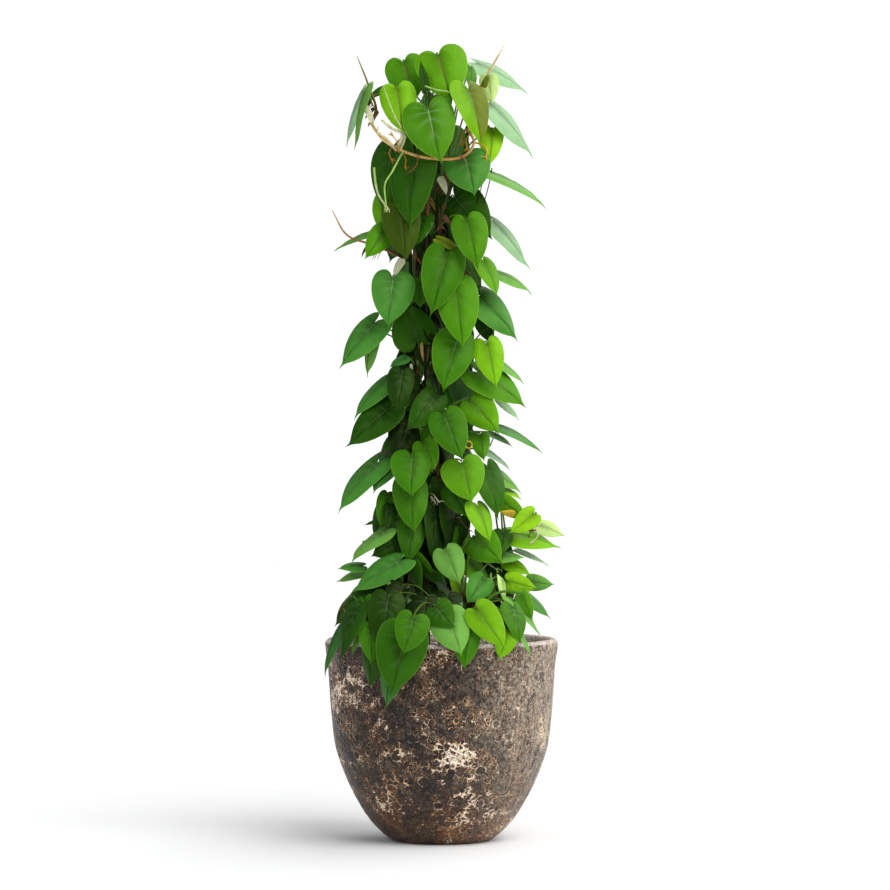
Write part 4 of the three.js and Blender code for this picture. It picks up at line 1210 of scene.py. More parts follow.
def crater_masks(nodes: Nodes, place: Value) -> tuple[Value, Value]:
    """Gives the masks of the few wide craters and of their raised rings."""
    distance, colour = nodes.cells(place, 42.0), nodes.cells(place, 42.0, "Color")
    chosen = nodes.math("GREATER_THAN", nodes.split(colour)[0], 0.86)
    hole = chosen * nodes.fit(distance, 0.3, 0.36, 1.0, 0.0)
    ring = chosen * nodes.fit(distance, 0.4, 0.46, 1.0, 0.0)
    return hole, nodes.math("SUBTRACT", ring, hole, clamp=True)


@dataclass(frozen=True)
class EarthFinish:
    """Rough matter such as potting mix or weathered wood: two colours in patches, coarse grain."""

    name: str
    base: Colour
    patch: Colour
    scale: float
    stretch: Triple = (1.0, 1.0, 1.0)
    relief: float = 0.0012
    roughness: float = 0.9

    def material(self) -> Material:
        """Builds the material."""
        finish = Finish(self.name)
        nodes = finish.nodes
        place = nodes.stretch(finish.place, self.stretch)
        patches = nodes.noise(place, self.scale, 5.0, 0.65)
        colour = nodes.mix(nodes.fit(patches, 0.4, 0.65), self.base, self.patch)
        colour = finish.mottled(colour, self.scale * 3, 0.8, place)["Colour"]
        relief = finish.bump(finish.grain(self.scale * 8, place), self.relief)
        rough = patches * 0.2 + (self.roughness - 0.12)
        return finish.done(Base_Color=colour, Roughness=rough, Normal=relief)


def mesh_object(name: str, vertices: Any, faces: Any, edges: Any = ()) -> Object:
    """Makes an object of a mesh whose places are in metres."""
    mesh = bpy.data.meshes.new(name)
    mesh.from_pydata(np.asarray(vertices).tolist(), list(edges), list(faces))
    mesh.update()
    made = bpy.data.objects.new(name, mesh)
    bpy.context.scene.collection.objects.link(made)
    return made


def rings(profile: Sequence[tuple[float, float]], count: int, x: float = 0.0) -> list[Triple]:
    """Gives the points of level rings round an upright axis, one ring for each radius and height."""
    turns = [i / count * 2 * math.pi for i in range(count)]
    return [(x + r * math.cos(turn), r * math.sin(turn), z) for r, z in profile for turn in turns]


def bands(first: int, rows: int, count: int, rising: bool) -> list[tuple[int, ...]]:
    """Gives the faces between rings of points, which rise round a body or widen on a surface that faces up."""
    faces = []
    for start in range(first, first + (rows - 1) * count, count):
        for i in range(count):
            a, n = start + i, start + (i + 1) % count
            faces.append((a, n, n + count, a + count) if rising else (a, a + count, n + count, n))
    return faces


def disc(radii_heights: Sequence[tuple[float, float]], middle: float, count: int) -> tuple[list, list]:
    """Gives the points and faces of a surface that faces up, from its middle outward."""
    vertices = [(0.0, 0.0, middle), *rings(radii_heights, count)]
    fan = [(0, 1 + i, 1 + (i + 1) % count) for i in range(count)]
    return vertices, fan + bands(1, len(radii_heights), count, False)


def put_attribute(mesh: Mesh, name: str, kind: str, values: np.ndarray) -> None:
    """Stores a FLOAT, FLOAT_VECTOR or FLOAT_COLOR on each vertex, one row for each."""
    attribute = mesh.attributes.new(name, kind, "POINT")
    slot = {"FLOAT": "value", "FLOAT_VECTOR": "vector", "FLOAT_COLOR": "color"}[kind]
    attribute.data.foreach_set(slot, np.ascontiguousarray(values, dtype=np.float32).ravel())


class ShapeTree:
    """A Geometry Nodes tree with named inputs, run on an object and turned into a plain mesh."""

    def __init__(self, name: str, inputs: dict[str, tuple[str, Any]]) -> None:
        """Starts the tree with its named inputs, between the geometry and the material."""
        self.group = bpy.data.node_groups.new(name, "GeometryNodeTree")
        self.group.is_modifier = True
        ends = {"Geometry": ("Geometry", None)}, {"Material": ("Material", None)}
        self.keys = add_sockets(self.group, ends[0] | inputs | ends[1], {"Geometry": "Geometry"})
        self.nodes = Nodes(self.group)
        self.start = self.nodes.values(self.nodes.add("NodeGroupInput"))
        self.end = self.nodes.add("NodeGroupOutput")

    def close(self, geometry: Value) -> "ShapeTree":
        """Ends the tree: smooth shading, real meshes and the material."""
        nodes = self.nodes
        smooth = nodes.get("GeometryNodeSetShadeSmooth", 0, {"Geometry": geometry})
        real = nodes.get("GeometryNodeRealizeInstances", 0, {"Geometry": smooth})
        inputs = {"Geometry": real, "Material": self.start["Material"]}
        nodes.feed(self.end.inputs["Geometry"], nodes.get("GeometryNodeSetMaterial", 0, inputs))
        return self

    def run(self, target: Object, **values: Any) -> Object:
        """Runs the tree on an object and leaves a plain mesh.

        Args:
            target: The object.
            values: Values for the named inputs, spaces written as underscores.

        Returns:
            The same object with its mesh replaced.
        """
        modifier = target.modifiers.new(self.group.name, "NODES")
        modifier.node_group = self.group
        for name, value in values.items():
            modifier[self.keys[name.replace("_", " ")]] = value
        target.update_tag()
        bpy.context.view_layer.update()
        graph = bpy.context.evaluated_depsgraph_get()
        ready = target.evaluated_get(graph)
        mesh = bpy.data.meshes.new_from_object(ready, preserve_all_data_layers=True, depsgraph=graph)
        target.modifiers.remove(modifier)
        old, target.data = target.data, mesh
        mesh.name = target.name
        bpy.data.meshes.remove(old)
        return target


def tube_tree() -> ShapeTree:
    """Makes the tree that turns lines with a thickness into closed tubes."""
    tree = ShapeTree("Tubes along lines", {"Sides": ("Int", 8)})
    nodes = tree.nodes
    curve = nodes.get("GeometryNodeMeshToCurve", 0, {"Mesh": tree.start["Geometry"]})
    even = nodes.get("GeometryNodeSetCurveRadius", 0, {"Curve": curve, "Radius": 1.0})
    ring = nodes.get("GeometryNodeCurvePrimitiveCircle", "Curve", {"Resolution": tree.start["Sides"], "Radius": 1.0})
    thickness = nodes.get("GeometryNodeInputNamedAttribute", "Attribute", {"Name": "thickness"}, data_type="FLOAT")
    inputs = {"Curve": even, "Profile Curve": ring, "Scale": thickness, "Fill Caps": True}
    return tree.close(nodes.get("GeometryNodeCurveToMesh", 0, inputs))


def relief_tree() -> ShapeTree:
    """Makes the tree that sinks burst cells into a surface where its mark allows."""
    inputs = {"Depth": ("Float", 0.002), "Fine cells": ("Float", 80.0), "Wide cells": ("Float", 40.0)}
    inputs["Stretch"] = ("Vector", (1.0, 1.0, 1.0))
    tree = ShapeTree("Burst cells", inputs)
    nodes, start = tree.nodes, tree.start
    here = nodes.get("GeometryNodeInputPosition", 0)
    inputs = {"Geometry": start["Geometry"], "Name": "glaze_place", "Value": here}
    kept = nodes.get("GeometryNodeStoreNamedAttribute", 0, inputs, data_type="FLOAT_VECTOR", domain="POINT")
    pattern = bent_place(nodes, nodes.vectors("MULTIPLY", here, start["Stretch"]))
    depth = crater_masks(nodes, pattern)[0] * 0.6
    for name, share in (("Fine cells", 0.5), ("Wide cells", 0.3)):
        depth = depth + nodes.fit(nodes.cells(pattern, start[name]), 0.15, 0.62, 1.0, 0.0) * share
    depth = depth * nodes.fit(nodes.noise(pattern, 18.0, 3.0), 0.35, 0.65, 0.35, 1.0)
    mark = nodes.get("GeometryNodeInputNamedAttribute", "Attribute", {"Name": "relief"}, data_type="FLOAT")
    offset = nodes.scaled(nodes.get("GeometryNodeInputNormal", 0), depth * mark * (start["Depth"] * -1.0))
    return tree.close(nodes.get("GeometryNodeSetPosition", 0, {"Geometry": kept, "Offset": offset}))


def scatter_tree() -> ShapeTree:
    """Makes the tree that scatters small chips over a surface."""
    inputs = {
        "Density": ("Float", 4000.0),
        "Smallest": ("Vector", (0.002, 0.002, 0.001)),
        "Largest": ("Vector", (0.006, 0.004, 0.003)),
        "Seed": ("Int", 3),
    }
    tree = ShapeTree("Scattered chips", inputs)
    nodes, start = tree.nodes, tree.start
    inputs = {"Mesh": start["Geometry"], "Density": start["Density"], "Seed": start["Seed"]}
    points = nodes.get("GeometryNodeDistributePointsOnFaces", "Points", inputs)
    chip = nodes.get("GeometryNodeMeshIcoSphere", "Mesh", {"Radius": 1.0, "Subdivisions": 1})
    draws = ({"Min": start["Smallest"], "Max": start["Largest"]}, {"Max": (6.28, 6.28, 6.28), "Seed": start["Seed"]})
    size, turn = (nodes.get("FunctionNodeRandomValue", 0, draw, data_type="FLOAT_VECTOR") for draw in draws)
    inputs = {"Points": points, "Instance": chip, "Rotation": turn, "Scale": size}
    return tree.close(nodes.get("GeometryNodeInstanceOnPoints", 0, inputs))


@dataclass
class Pot:
    """The egg-shaped stoneware pot, in millimetres."""

    foot_radius: float = 85.0
    wall: float = 18.0
    floor: float = 24.0
    side: tuple[tuple[float, float], ...] = (
        (120, 31), (149, 76), (170, 122), (183, 164), (190, 223), (196, 305), (200, 334),
    )
    rim: tuple[tuple[float, float], ...] = ((199, 341), (193, 346), (187, 345), (182, 338))
    columns: int = 400
    row_step: float = 2.2
    crater_depth: float = 0.0022

    def profile(self) -> tuple[np.ndarray, np.ndarray]:
        """Gives the profile from the foot's middle to the inner floor's middle, and its relief mark."""
        outer = [(self.foot_radius - 8, 0.0), (self.foot_radius + 3, 2.5), *self.side, *self.rim]
        smooth = curve_points([np.array(point, float) for point in outer], 900)
        steps = np.concatenate([[0], np.cumsum(np.linalg.norm(np.diff(smooth, axis=0), axis=1))])
        marks = np.arange(0, steps[-1], self.row_step)
        rows = np.stack([np.interp(marks, steps, smooth[:, axis]) for axis in (0, 1)], axis=1)
        inner = [(r - self.wall, z) for r, z in reversed(self.side) if z > self.floor + 10]
        tail = np.array([(180.5, 330.0), *inner[1:], (self.foot_radius, self.floor)], float)
        outside = np.interp(marks, [6, 18, steps[-1] - 22, steps[-1]], [0, 1, 1, 0])
        return np.vstack([rows, tail]), np.concatenate([outside, np.zeros(len(tail))])

    def mesh(self) -> Object:
        """Turns the profile round the axis into a closed shell."""
        profile, relief = self.profile()
        rows, count = len(profile), self.columns
        vertices = np.array([*rings(profile, count), (0, 0, 0), (0, 0, self.floor)]) * MM
        bottom, top, last = rows * count, rows * count + 1, (rows - 1) * count
        faces = bands(0, rows, count, True)
        faces += [(bottom, (i + 1) % count, i) for i in range(count)]
        faces += [(top, last + i, last + (i + 1) % count) for i in range(count)]
        made = mesh_object("pot_shell", vertices, faces)
        put_attribute(made.data, "relief", "FLOAT", np.concatenate([np.repeat(relief, count), [0, 0]]))
        return made

    def build(self, relief: ShapeTree) -> Object:
        """Builds the glazed pot in place of its solid."""
        glaze = GlazeFinish().material()
        made = relief.run(self.mesh(), Depth=self.crater_depth, Fine_cells=120.0, Wide_cells=60.0, Material=glaze)
        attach(made, "root")
        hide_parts("pot")
        return made


@dataclass
class Soil:
    """The potting mix: its solid keeps its shape, and chips of bark and perlite lie on it."""

    radius: float = 176.0
    top: float = 322.0
    mound: float = 7.0
    rings: int = 10
    sides: int = 40

    def surface(self, name: str) -> Object:
        """Gives the soil's top surface for chips to lie on."""
        shares = [ring / self.rings for ring in range(1, self.rings + 1)]
        profile = [(self.radius * share, self.top + self.mound * (1 - share**2)) for share in shares]
        vertices, faces = disc(profile, self.top + self.mound, self.sides)
        return mesh_object(name, np.array(vertices) * MM, faces)

    def build(self, scatter: ShapeTree) -> list[Object]:
        """Dresses the soil's solid and scatters its chips."""
        solid = frame["nodes"]["soil"]
        earth = EarthFinish("potting mix", linear(44, 32, 24), linear(76, 56, 40), 60.0)
        solid.data.materials.clear()
        solid.data.materials.append(earth.material())
        bark = EarthFinish("bark chips", linear(70, 46, 30), linear(112, 78, 50), 90.0, relief=0.0008)
        stone = EarthFinish("perlite", linear(214, 208, 196), linear(176, 168, 152), 120.0, relief=0.0005)
        crumbs = (
            ("bark_chips", bark, 9000.0, (0.0018, 0.0014, 0.0008), (0.007, 0.0045, 0.0025), 11),
            ("perlite_beads", stone, 1500.0, (0.0012, 0.0012, 0.001), (0.0026, 0.0024, 0.0022), 29),
        )
        made = []
        for name, finish, density, smallest, largest, seed in crumbs:
            sizes = {"Density": density, "Smallest": smallest, "Largest": largest, "Seed": seed}
            piece = scatter.run(self.surface(name), **sizes, Material=finish.material())
            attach(piece, "root")
            made.append(piece)
        return made


@dataclass
class Stake:
    """The slim support stake in the middle, in millimetres."""

    radius: float = STAKE_RADIUS - 0.1
    foot: float = STAKE_FOOT
    top: float = STAKE_TOP
    columns: int = 20
    row_step: float = 4.0

    def mesh(self) -> Object:
        """Builds the rod with its ends rounded over."""
        rows = int((self.top - self.foot) / self.row_step)
        heights = np.linspace(self.foot, self.top, rows + 1)
        heights = np.insert(heights, [1, rows], [self.foot + 1, self.top - 1])
        radii = np.full(len(heights), self.radius)
        radii[[0, -1]] = self.radius * 0.8
        vertices = np.array(rings(list(zip(radii, heights)), self.columns, STAKE_X)) * MM
        faces = bands(0, len(heights), self.columns, True)
        faces.append(tuple(range(self.columns - 1, -1, -1)))
        faces.append(tuple(range(len(vertices) - self.columns, len(vertices))))
        made = mesh_object("stake_rod", vertices, faces)
        put_attribute(made.data, "relief", "FLOAT", np.ones(len(vertices)))
        return made

    def build(self, relief: ShapeTree) -> Object:
        """Builds the weathered rod in place of its solid."""
        colours = (linear(52, 40, 30), linear(84, 66, 46))
        wood = EarthFinish("weathered stake", *colours, 160.0, (1.0, 1.0, 0.12), 0.0008, 0.8).material()
        sizes = {"Depth": 0.0009, "Fine_cells": 260.0, "Wide_cells": 120.0, "Stretch": (1.0, 1.0, 0.25)}
        made = relief.run(self.mesh(), **sizes, Material=wood)
        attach(made, "root")
        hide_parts("stake")
        return made


@dataclass(frozen=True)
class BladeShape:
    """The heart-shaped blade in its own measures: u across its width, v along its length."""

    outline: tuple[tuple[float, float], ...] = (
        (0, 0), (0.10, -0.155), (0.22, -0.205), (0.38, -0.15), (0.48, 0.01), (0.49, 0.2),
        (0.44, 0.4), (0.335, 0.6), (0.185, 0.768), (0.056, 0.873), (0.017, 0.936), (0, 1),
    )
    midrib: tuple[float, ...] = (0, 0.003, 0.007, 0.013, 0.03, 0.07, 0.15, 0.29, 0.49, 0.7, 0.88, 1)
    columns: tuple[float, ...] = (0, 0.05, 0.16, 0.32, 0.5, 0.68, 0.84, 0.955, 1)
    first_row: float = 0.35
    last_row: float = 10.8
    rows: int = 22
    bow: float = 0.03
    half_thickness: float = 0.25
    arch: float = 0.05
    fold: float = 0.08
    groove: float = 0.35
    rib: float = 0.75

    def grid(self) -> dict[str, np.ndarray]:
        """Gives each grid point's place, reach from the midrib, row and side; the tip comes last."""
        knots = [np.array(point, float) for point in self.outline]
        rows = np.linspace(self.first_row, self.last_row, self.rows)
        edge = np.array([self.edge_point(knots, row) for row in rows])
        middle = np.interp(rows, range(len(self.midrib)), self.midrib)
        sag = self.bow * np.sin(np.pi * np.clip((rows - 2) / 9, 0, 1))
        reach = np.array([*(-r for r in self.columns[:0:-1]), *self.columns])
        far = np.abs(reach)[None, :]
        u = edge[:, :1] * reach[None, :]
        v = middle[:, None] * (1 - far) + edge[:, 1:] * far - sag[:, None] * 4 * far * (1 - far)
        row = np.broadcast_to(rows[:, None], u.shape)
        side = np.broadcast_to(reach[None, :], u.shape)
        return {
            "u": np.append(u.ravel(), 0.0),
            "v": np.append(v.ravel(), 1.0),
            "reach": np.append(side.ravel(), 0.0),
            "row": np.append(row.ravel(), float(len(self.outline) - 1)),
        }

    @staticmethod
    def edge_point(knots: list[Point], row: float) -> Point:
        """Gives the outline's point at a row."""
        ends = [2 * knots[0] - knots[1], *knots, 2 * knots[-1] - knots[-2]]
        span = min(int(row), len(knots) - 2)
        return span_point(ends[span : span + 4], row - span)

    def faces(self) -> tuple[np.ndarray, list[tuple[int, ...]]]:
        """Gives the closed shell's layout.

        Returns:
            Which grid points lie on the rim, and the faces: the top grid's points come first, then the
            underside's points that aren't on the rim.
        """
        width = 2 * len(self.columns) - 1
        count = self.rows * width + 1
        grid = np.arange(count - 1).reshape(self.rows, width)
        rim = np.zeros(count, bool)
        rim[grid[0]] = rim[grid[:, 0]] = rim[grid[:, -1]] = True
        rim[count - 1] = True
        under = np.arange(count)
        under[~rim] = count + np.arange((~rim).sum())
        corners = np.stack([grid[:-1, :-1], grid[1:, :-1], grid[1:, 1:], grid[:-1, 1:]], axis=2).reshape(-1, 4)
        top = [tuple(face) for face in corners.tolist()]
        top += [(int(a), count - 1, int(b)) for a, b in zip(grid[-1, :-1], grid[-1, 1:])]
        bottom = [tuple(int(under[i]) for i in reversed(face)) for face in top]
        return rim, top + bottom


SHADE_BLADE = BladeShape(columns=(0, 0.07, 0.35, 0.7, 1), rows=13)
SHEATH_BLADE = BladeShape(
    outline=(
        (0, 0), (0.2, 0.0), (0.34, 0.03), (0.44, 0.1), (0.5, 0.2), (0.5, 0.33),
        (0.46, 0.47), (0.38, 0.62), (0.27, 0.76), (0.14, 0.88), (0.05, 0.96), (0, 1),
    ),
    midrib=(0, 0.02, 0.05, 0.1, 0.17, 0.27, 0.39, 0.52, 0.66, 0.8, 0.92, 1),
    columns=(0, 0.1, 0.35, 0.7, 1),
    rows=14, bow=0.0, half_thickness=0.15, arch=0.12, fold=0.5, groove=0.05, rib=0.1,
)


class BladeBuilder:
    """Turns leaves into blades: each one bent, waved and quilted in its own seeded way."""

    def __init__(self, shape: BladeShape) -> None:
        """Lays out the grid that every blade shares."""
        self.shape = shape
        self.grid = shape.grid()
        self.rim, self.layout = shape.faces()

    def heights(self, leaf: Leaf, draw: Draw) -> np.ndarray:
        """Gives the middle surface's height over the blade's plane, in millimetres."""
        u, v, reach, row = (self.grid[key] for key in ("u", "v", "reach", "row"))
        far = np.abs(reach)
        soft = np.sqrt(u**2 + 0.0025) - 0.05
        height = leaf.length * self.shape.arch * 4 * v * (1 - v)
        height = height - leaf.width * self.shape.fold * 2 * soft
        size = min(leaf.length, leaf.width * 1.4) / 90
        quilt = (0.5 + 0.6 * draw.next()) * size
        height += quilt * np.sin(np.pi * row / VEIN_STEP) ** 2 * np.sin(np.pi * far) * (v < 0.93)
        pillow = (0.018 + 0.022 * draw.next()) * leaf.width
        height += pillow * np.sin(np.pi * far) * np.clip((1 - v) * 2.5, 0, 1) * np.clip(row / 2, 0, 1)
        wave = (0.5 + 1.3 * draw.next()) * size
        phase = np.where(reach > 0, draw.next(), draw.next()) * 2 * math.pi
        height += wave * far**3 * np.sin(row * (0.9 + 0.5 * draw.next()) + phase) * np.clip((1 - v) * 4, 0, 1)
        height += draw.spread(5.0) * size * np.clip((v - 0.7) / 0.3, 0, 1) ** 2
        height += draw.spread(2.5) * size * np.clip(-v / 0.2, 0, 1) ** 2
        return height + draw.spread(0.05) * leaf.width * u * (v - 0.3)

    def blade(self, leaf: Leaf, draw: Draw) -> tuple[np.ndarray, np.ndarray]:
        """Gives a blade's corners in metres, and which of them belong to the underside."""
        height = self.heights(leaf, draw)
        u, v, far = self.grid["u"], self.grid["v"], np.abs(self.grid["reach"])
        sway = draw.spread(0.06) * np.clip((v - 0.72) / 0.28, 0, 1) ** 2
        u = u * (1 + draw.spread(0.07) * np.sign(u))
        plane = leaf.sinus + np.outer(v * leaf.length, leaf.along)
        plane = plane + np.outer((u + sway) * leaf.width, leaf.across)
        middle = np.exp(-((far / 0.05) ** 2)) * (1 - 0.7 * np.clip(v, 0, 1))
        half = np.where(self.rim, 0.0, self.shape.half_thickness)
        inside = ~self.rim
        above = plane + np.outer(height + half - self.shape.groove * middle * inside, leaf.normal)
        below = plane + np.outer(height - half - self.shape.rib * middle * inside, leaf.normal)
        under = np.concatenate([np.where(self.rim, 0.5, 0.0), np.ones(inside.sum())])
        return np.vstack([above, below[inside]]) * MM, under

    def build(self, name: str, leaves: Sequence[Leaf], draw: Draw) -> Object:
        """Builds the blades of one vine as one piece."""
        inside = ~self.rim
        places, faces, tones, marks, offset = [], [], [], [], 0
        along = self.grid["row"] / self.grid["row"][-1]
        chart = np.stack([0.5 + 0.5 * self.grid["reach"], along], axis=1)
        chart = np.vstack([chart, chart[inside]])
        for leaf in leaves:
            corners, under = self.blade(leaf, draw)
            luck = draw.next()
            tones.append(self.tones(leaf, chart[:, 0], 0.9 + 0.2 * luck))
            marks.append(np.stack([np.full(len(corners), leaf.ruddy), np.full(len(corners), leaf.veins), under], 1))
            faces += [tuple(i + offset for i in face) for face in self.layout]
            places.append(corners)
            offset += len(corners)
        made, marks = mesh_object(name, np.vstack(places), faces), np.vstack(marks)
        put_attribute(made.data, "tone", "FLOAT_COLOR", np.vstack(tones))
        put_attribute(made.data, "marks", "FLOAT_VECTOR", marks)
        self.map_and_shade(made.data, np.tile(chart, (len(leaves), 1)), marks[:, 2])
        return made

    @staticmethod
    def tones(leaf: Leaf, across: np.ndarray, level: float) -> np.ndarray:
        """Gives each corner its colour: one tone, or another on the viewer's right of the midrib."""
        tone = np.tile(np.array(leaf.tone.value) * level, (len(across), 1))
        if leaf.right is not None:
            side = (across - 0.5) * (1 if leaf.across[0] > 0 else -1)
            share = np.clip(side * 8 + 0.5, 0, 1)[:, None]
            tone = tone * (1 - share) + np.array(leaf.right.value) * share
        return np.concatenate([tone, np.ones((len(across), 1))], axis=1)

    @staticmethod
    def map_and_shade(mesh: Mesh, chart: np.ndarray, under: np.ndarray) -> None:
        """Stores the blades' map, smooths their faces and keeps their margins crisp."""
        corners = np.empty(len(mesh.loops), np.int64)
        mesh.loops.foreach_get("vertex_index", corners)
        layer = mesh.uv_layers.new(name="blade")
        layer.uv.foreach_set("vector", chart[corners].astype(np.float32).ravel())
        mesh.polygons.foreach_set("use_smooth", np.ones(len(mesh.polygons), bool))
        ends = np.empty(len(mesh.edges) * 2, np.int64)
        mesh.edges.foreach_get("vertices", ends)
        rim = (under == 0.5)[ends.reshape(-1, 2)].all(axis=1)
        mesh.attributes.new("sharp_edge", "BOOLEAN", "EDGE").data.foreach_set("value", rim)
        mesh.update()


class Lines:
    """Lines with a thickness and a tone at each point, gathered for the tube tree."""

    def __init__(self) -> None:
        """Starts empty."""
        self.parts: list[tuple[np.ndarray, ...]] = []

    def add(self, points: Sequence[Point], radii: Any, tones: Any) -> None:
        """Adds a line in millimetres, with a radius and a colour for each point or one of each for all."""
        count = len(points)
        self.parts.append((np.array(points), np.broadcast_to(radii, count), np.broadcast_to(tones, (count, 3))))

    def build(self, name: str, tree: ShapeTree, sides: int, material: Material) -> Object:
        """Turns the lines into closed tubes."""
        points, radii, tones = (np.concatenate(column) for column in zip(*self.parts))
        firsts = set(np.cumsum([len(part[0]) for part in self.parts]).tolist())
        edges = [(i, i + 1) for i in range(len(points) - 1) if i + 1 not in firsts]
        made = mesh_object(name, points * MM, [], edges)
        put_attribute(made.data, "thickness", "FLOAT", radii * MM)
        put_attribute(made.data, "tone", "FLOAT_COLOR", np.insert(tones, 3, 1, axis=1))
        return tree.run(made, Sides=sides, Material=material)


def blend_tones(a: Any, b: Any, shares: Any) -> np.ndarray:
    """Mixes two colours, or a row of colours and one, by each share in turn."""
    return np.asarray(a) + np.subtract(b, a) * np.reshape(shares, (-1, 1))


@dataclass
class Foliage:
    """The eight vines: blades, stems, petioles, new-leaf spikes and aerial roots, in millimetres."""

    stem_radius: float = 3.4
    shoot_radius: float = 2.5
    spike_radius: float = 3.6
    spike_tip_radius: float = 0.7
    petiole_radius: float = 1.25
    curl_radius: float = 1.2
    root_radii: tuple[float, float] = (1.1, 0.45)
    tuft_radii: tuple[float, ...] = (0.9, 0.85, 0.8, 0.7, 0.6, 0.4)
    swelling: float = 0.3
    stem_step: float = 4.0
    sheaths_on_stem: int = 7
    sides: int = 8
    seed: int = 5

    def stem(
        self, lines: Lines, points: Sequence[Point], radius: float, joints: Sequence[Point], draw: Draw,
        skins: tuple[Colour, Colour] = (Bark.STEM.value, Bark.WOODY.value), taper: float = 0.25,
    ) -> None:
        """Adds a stem whose joints swell and carry a pale ring.

        Args:
            lines: The lines to add to.
            points: The points that the stem passes through.
            radius: Its radius in millimetres.
            joints: The places where it bears petioles.
            draw: The seeded draw.
            skins: The two colours that change along it.
            taper: The share of its radius that it loses toward its end.
        """
        span = sum(np.linalg.norm(b - a) for a, b in zip(points, points[1:]))
        path = curve_points(points, max(24, int(span / self.stem_step)))
        steps, phase = np.arange(len(path)), draw.next() * 6
        near = np.linalg.norm(path[:, None] - np.array(joints)[None], axis=2).min(axis=1)
        bulge = np.exp(-((near / 6) ** 2))
        radii = radius * (1 - taper * (steps / len(path)) ** 3)
        radii = radii * (1 + self.swelling * bulge + 0.05 * np.sin(steps * 0.9 + phase))
        skin = blend_tones(*skins, 0.5 + 0.5 * np.sin(steps * 0.13 + phase))
        lines.add(path, radii, blend_tones(skin, Bark.RING.value, bulge * 0.8))

    def spike(self, lines: Lines, points: Sequence[Point], tones: tuple[Colour, Colour]) -> None:
        """Adds a new leaf still rolled to a spike, of one colour at its base and another at its tip."""
        count = 40
        shares = np.arange(count + 1) / count
        radii = self.spike_radius + (self.spike_tip_radius - self.spike_radius) * shares**2.2
        radii = radii * (0.8 + 0.12 * np.sin(shares * 9))
        lines.add(curve_points(points, count), radii, blend_tones(*tones, shares**1.3))

    def petiole(self, lines: Lines, leaf: Leaf, draw: Draw) -> None:
        """Adds a leaf's petiole, thicker where it joins the blade and where it clasps the stem."""
        joint = [leaf.sinus + leaf.along * 2.5 - leaf.normal * 0.9, leaf.sinus - leaf.along * 3 - leaf.normal * 1.8]
        count = 14
        shares = np.linspace(0, 1, count + 1)
        radii = self.petiole_radius * (1 + 0.3 * shares**2 + 0.25 * np.exp(-((shares - 0.12) / 0.08) ** 2))
        radii[0] *= 0.5
        green = blend_tones(Bark.PETIOLE.value, leaf.tone.value, 0.35 + 0.3 * draw.next())
        ruddy = blend_tones(green, Bark.BROWN.value, 0.5 * draw.next())
        lines.add(curve_points([*joint, *leaf.petiole], count), radii, blend_tones(green, ruddy, shares))

    def roots(self, lines: Lines, joints: Sequence[Point], draw: Draw) -> None:
        """Adds two short aerial roots at each joint."""
        for joint in np.repeat(joints, 2, axis=0):
            turn, fall = draw.next() * 2 * math.pi, 0.3 + 0.9 * draw.next()
            length = 6 + 16 * draw.next()
            aim = unit(np.array([math.cos(turn), math.sin(turn), -fall])) * length
            bend = np.array([0, 0, -length * 0.25])
            path = curve_points([joint, joint + aim * 0.5, joint + aim + bend], 6)
            tone = draw.pick([Bark.ROOT, Bark.BROWN, Bark.TAN]).value
            lines.add(path, np.linspace(*self.root_radii, len(path)), tone)

    def tuft(self, lines: Lines, place: Point, aim: Point, count: int, tone: Colour, draw: Draw) -> None:
        """Adds a tuft of root tips."""
        for _ in range(count):
            way = unit(aim + draw.vector(1.1, 0.7, 1.1)) * (5 + 8 * draw.next())
            path = curve_points([place, place + way * 0.5 + draw.vector(2, 2, 2), place + way], 5)
            lines.add(path, self.tuft_radii, tone)

    def seen_lines(self, lines: dict[str, Lines], growth: Growth, draw: Draw) -> None:
        """Adds the stalks and roots read off the photograph, each begun on the stem that carries it."""
        for line in SEEN_LINES:
            points = read(*line.points)
            vine, start = growth.carrier(points[0])
            if np.linalg.norm(start - points[0]) < 45:
                points = [start, *points]
            path = curve_points(points, 4 * len(points))
            shares = np.linspace(0, 1, len(path))
            tones = blend_tones(line.tone.value, line.end.value, shares)
            lines[vine].add(path, line.radius * (1.15 - 0.35 * shares), tones)
            self.tuft(lines[vine], path[-1], unit(path[-1] - path[-2]), line.tuft, line.end.value, draw)
        curl = curve_points(read(*CURL), 20)
        vine, start = growth.carrier(curl[0])
        lines[vine].add(curl, self.curl_radius, Bark.YELLOW.value)
        lines[vine].add([start, curl[0]], self.curl_radius, [Bark.BROWN.value, Bark.YELLOW.value])

    def sheaths(self, growth: Growth) -> list[Leaf]:
        """Gives the dried sheaths read off the photograph and others at seeded joints of every stem."""
        made = [growth.maker.from_photo(spec, 0) for spec in SHEATHS]
        draw = Draw(31)
        axis = np.array([STAKE_X, 0])
        for name, nodes in growth.nodes.items():
            for _ in range(self.sheaths_on_stem):
                joint = draw.pick(nodes)
                out = joint[:2] - axis
                turn = math.degrees(math.atan2(out[0], -out[1])) + draw.spread(50)
                size = 24 + draw.spread(9)
                radius = float(np.linalg.norm(out))
                rule = RuleLeaf(name, joint[2], turn, radius, size, 22 + draw.spread(16), 0, draw.spread(60))
                leaf = growth.maker.from_rule(rule, 0)
                leaf.sinus, leaf.width = joint, size * 0.3
                leaf.tone = draw.pick([Tone.TAN, Tone.BROWN, Tone.STRAW, Tone.BROWN])
                made.append(leaf)
        for leaf in made:
            leaf.vine, leaf.veins = growth.carrier(leaf.sinus)[0], -0.5
        return made

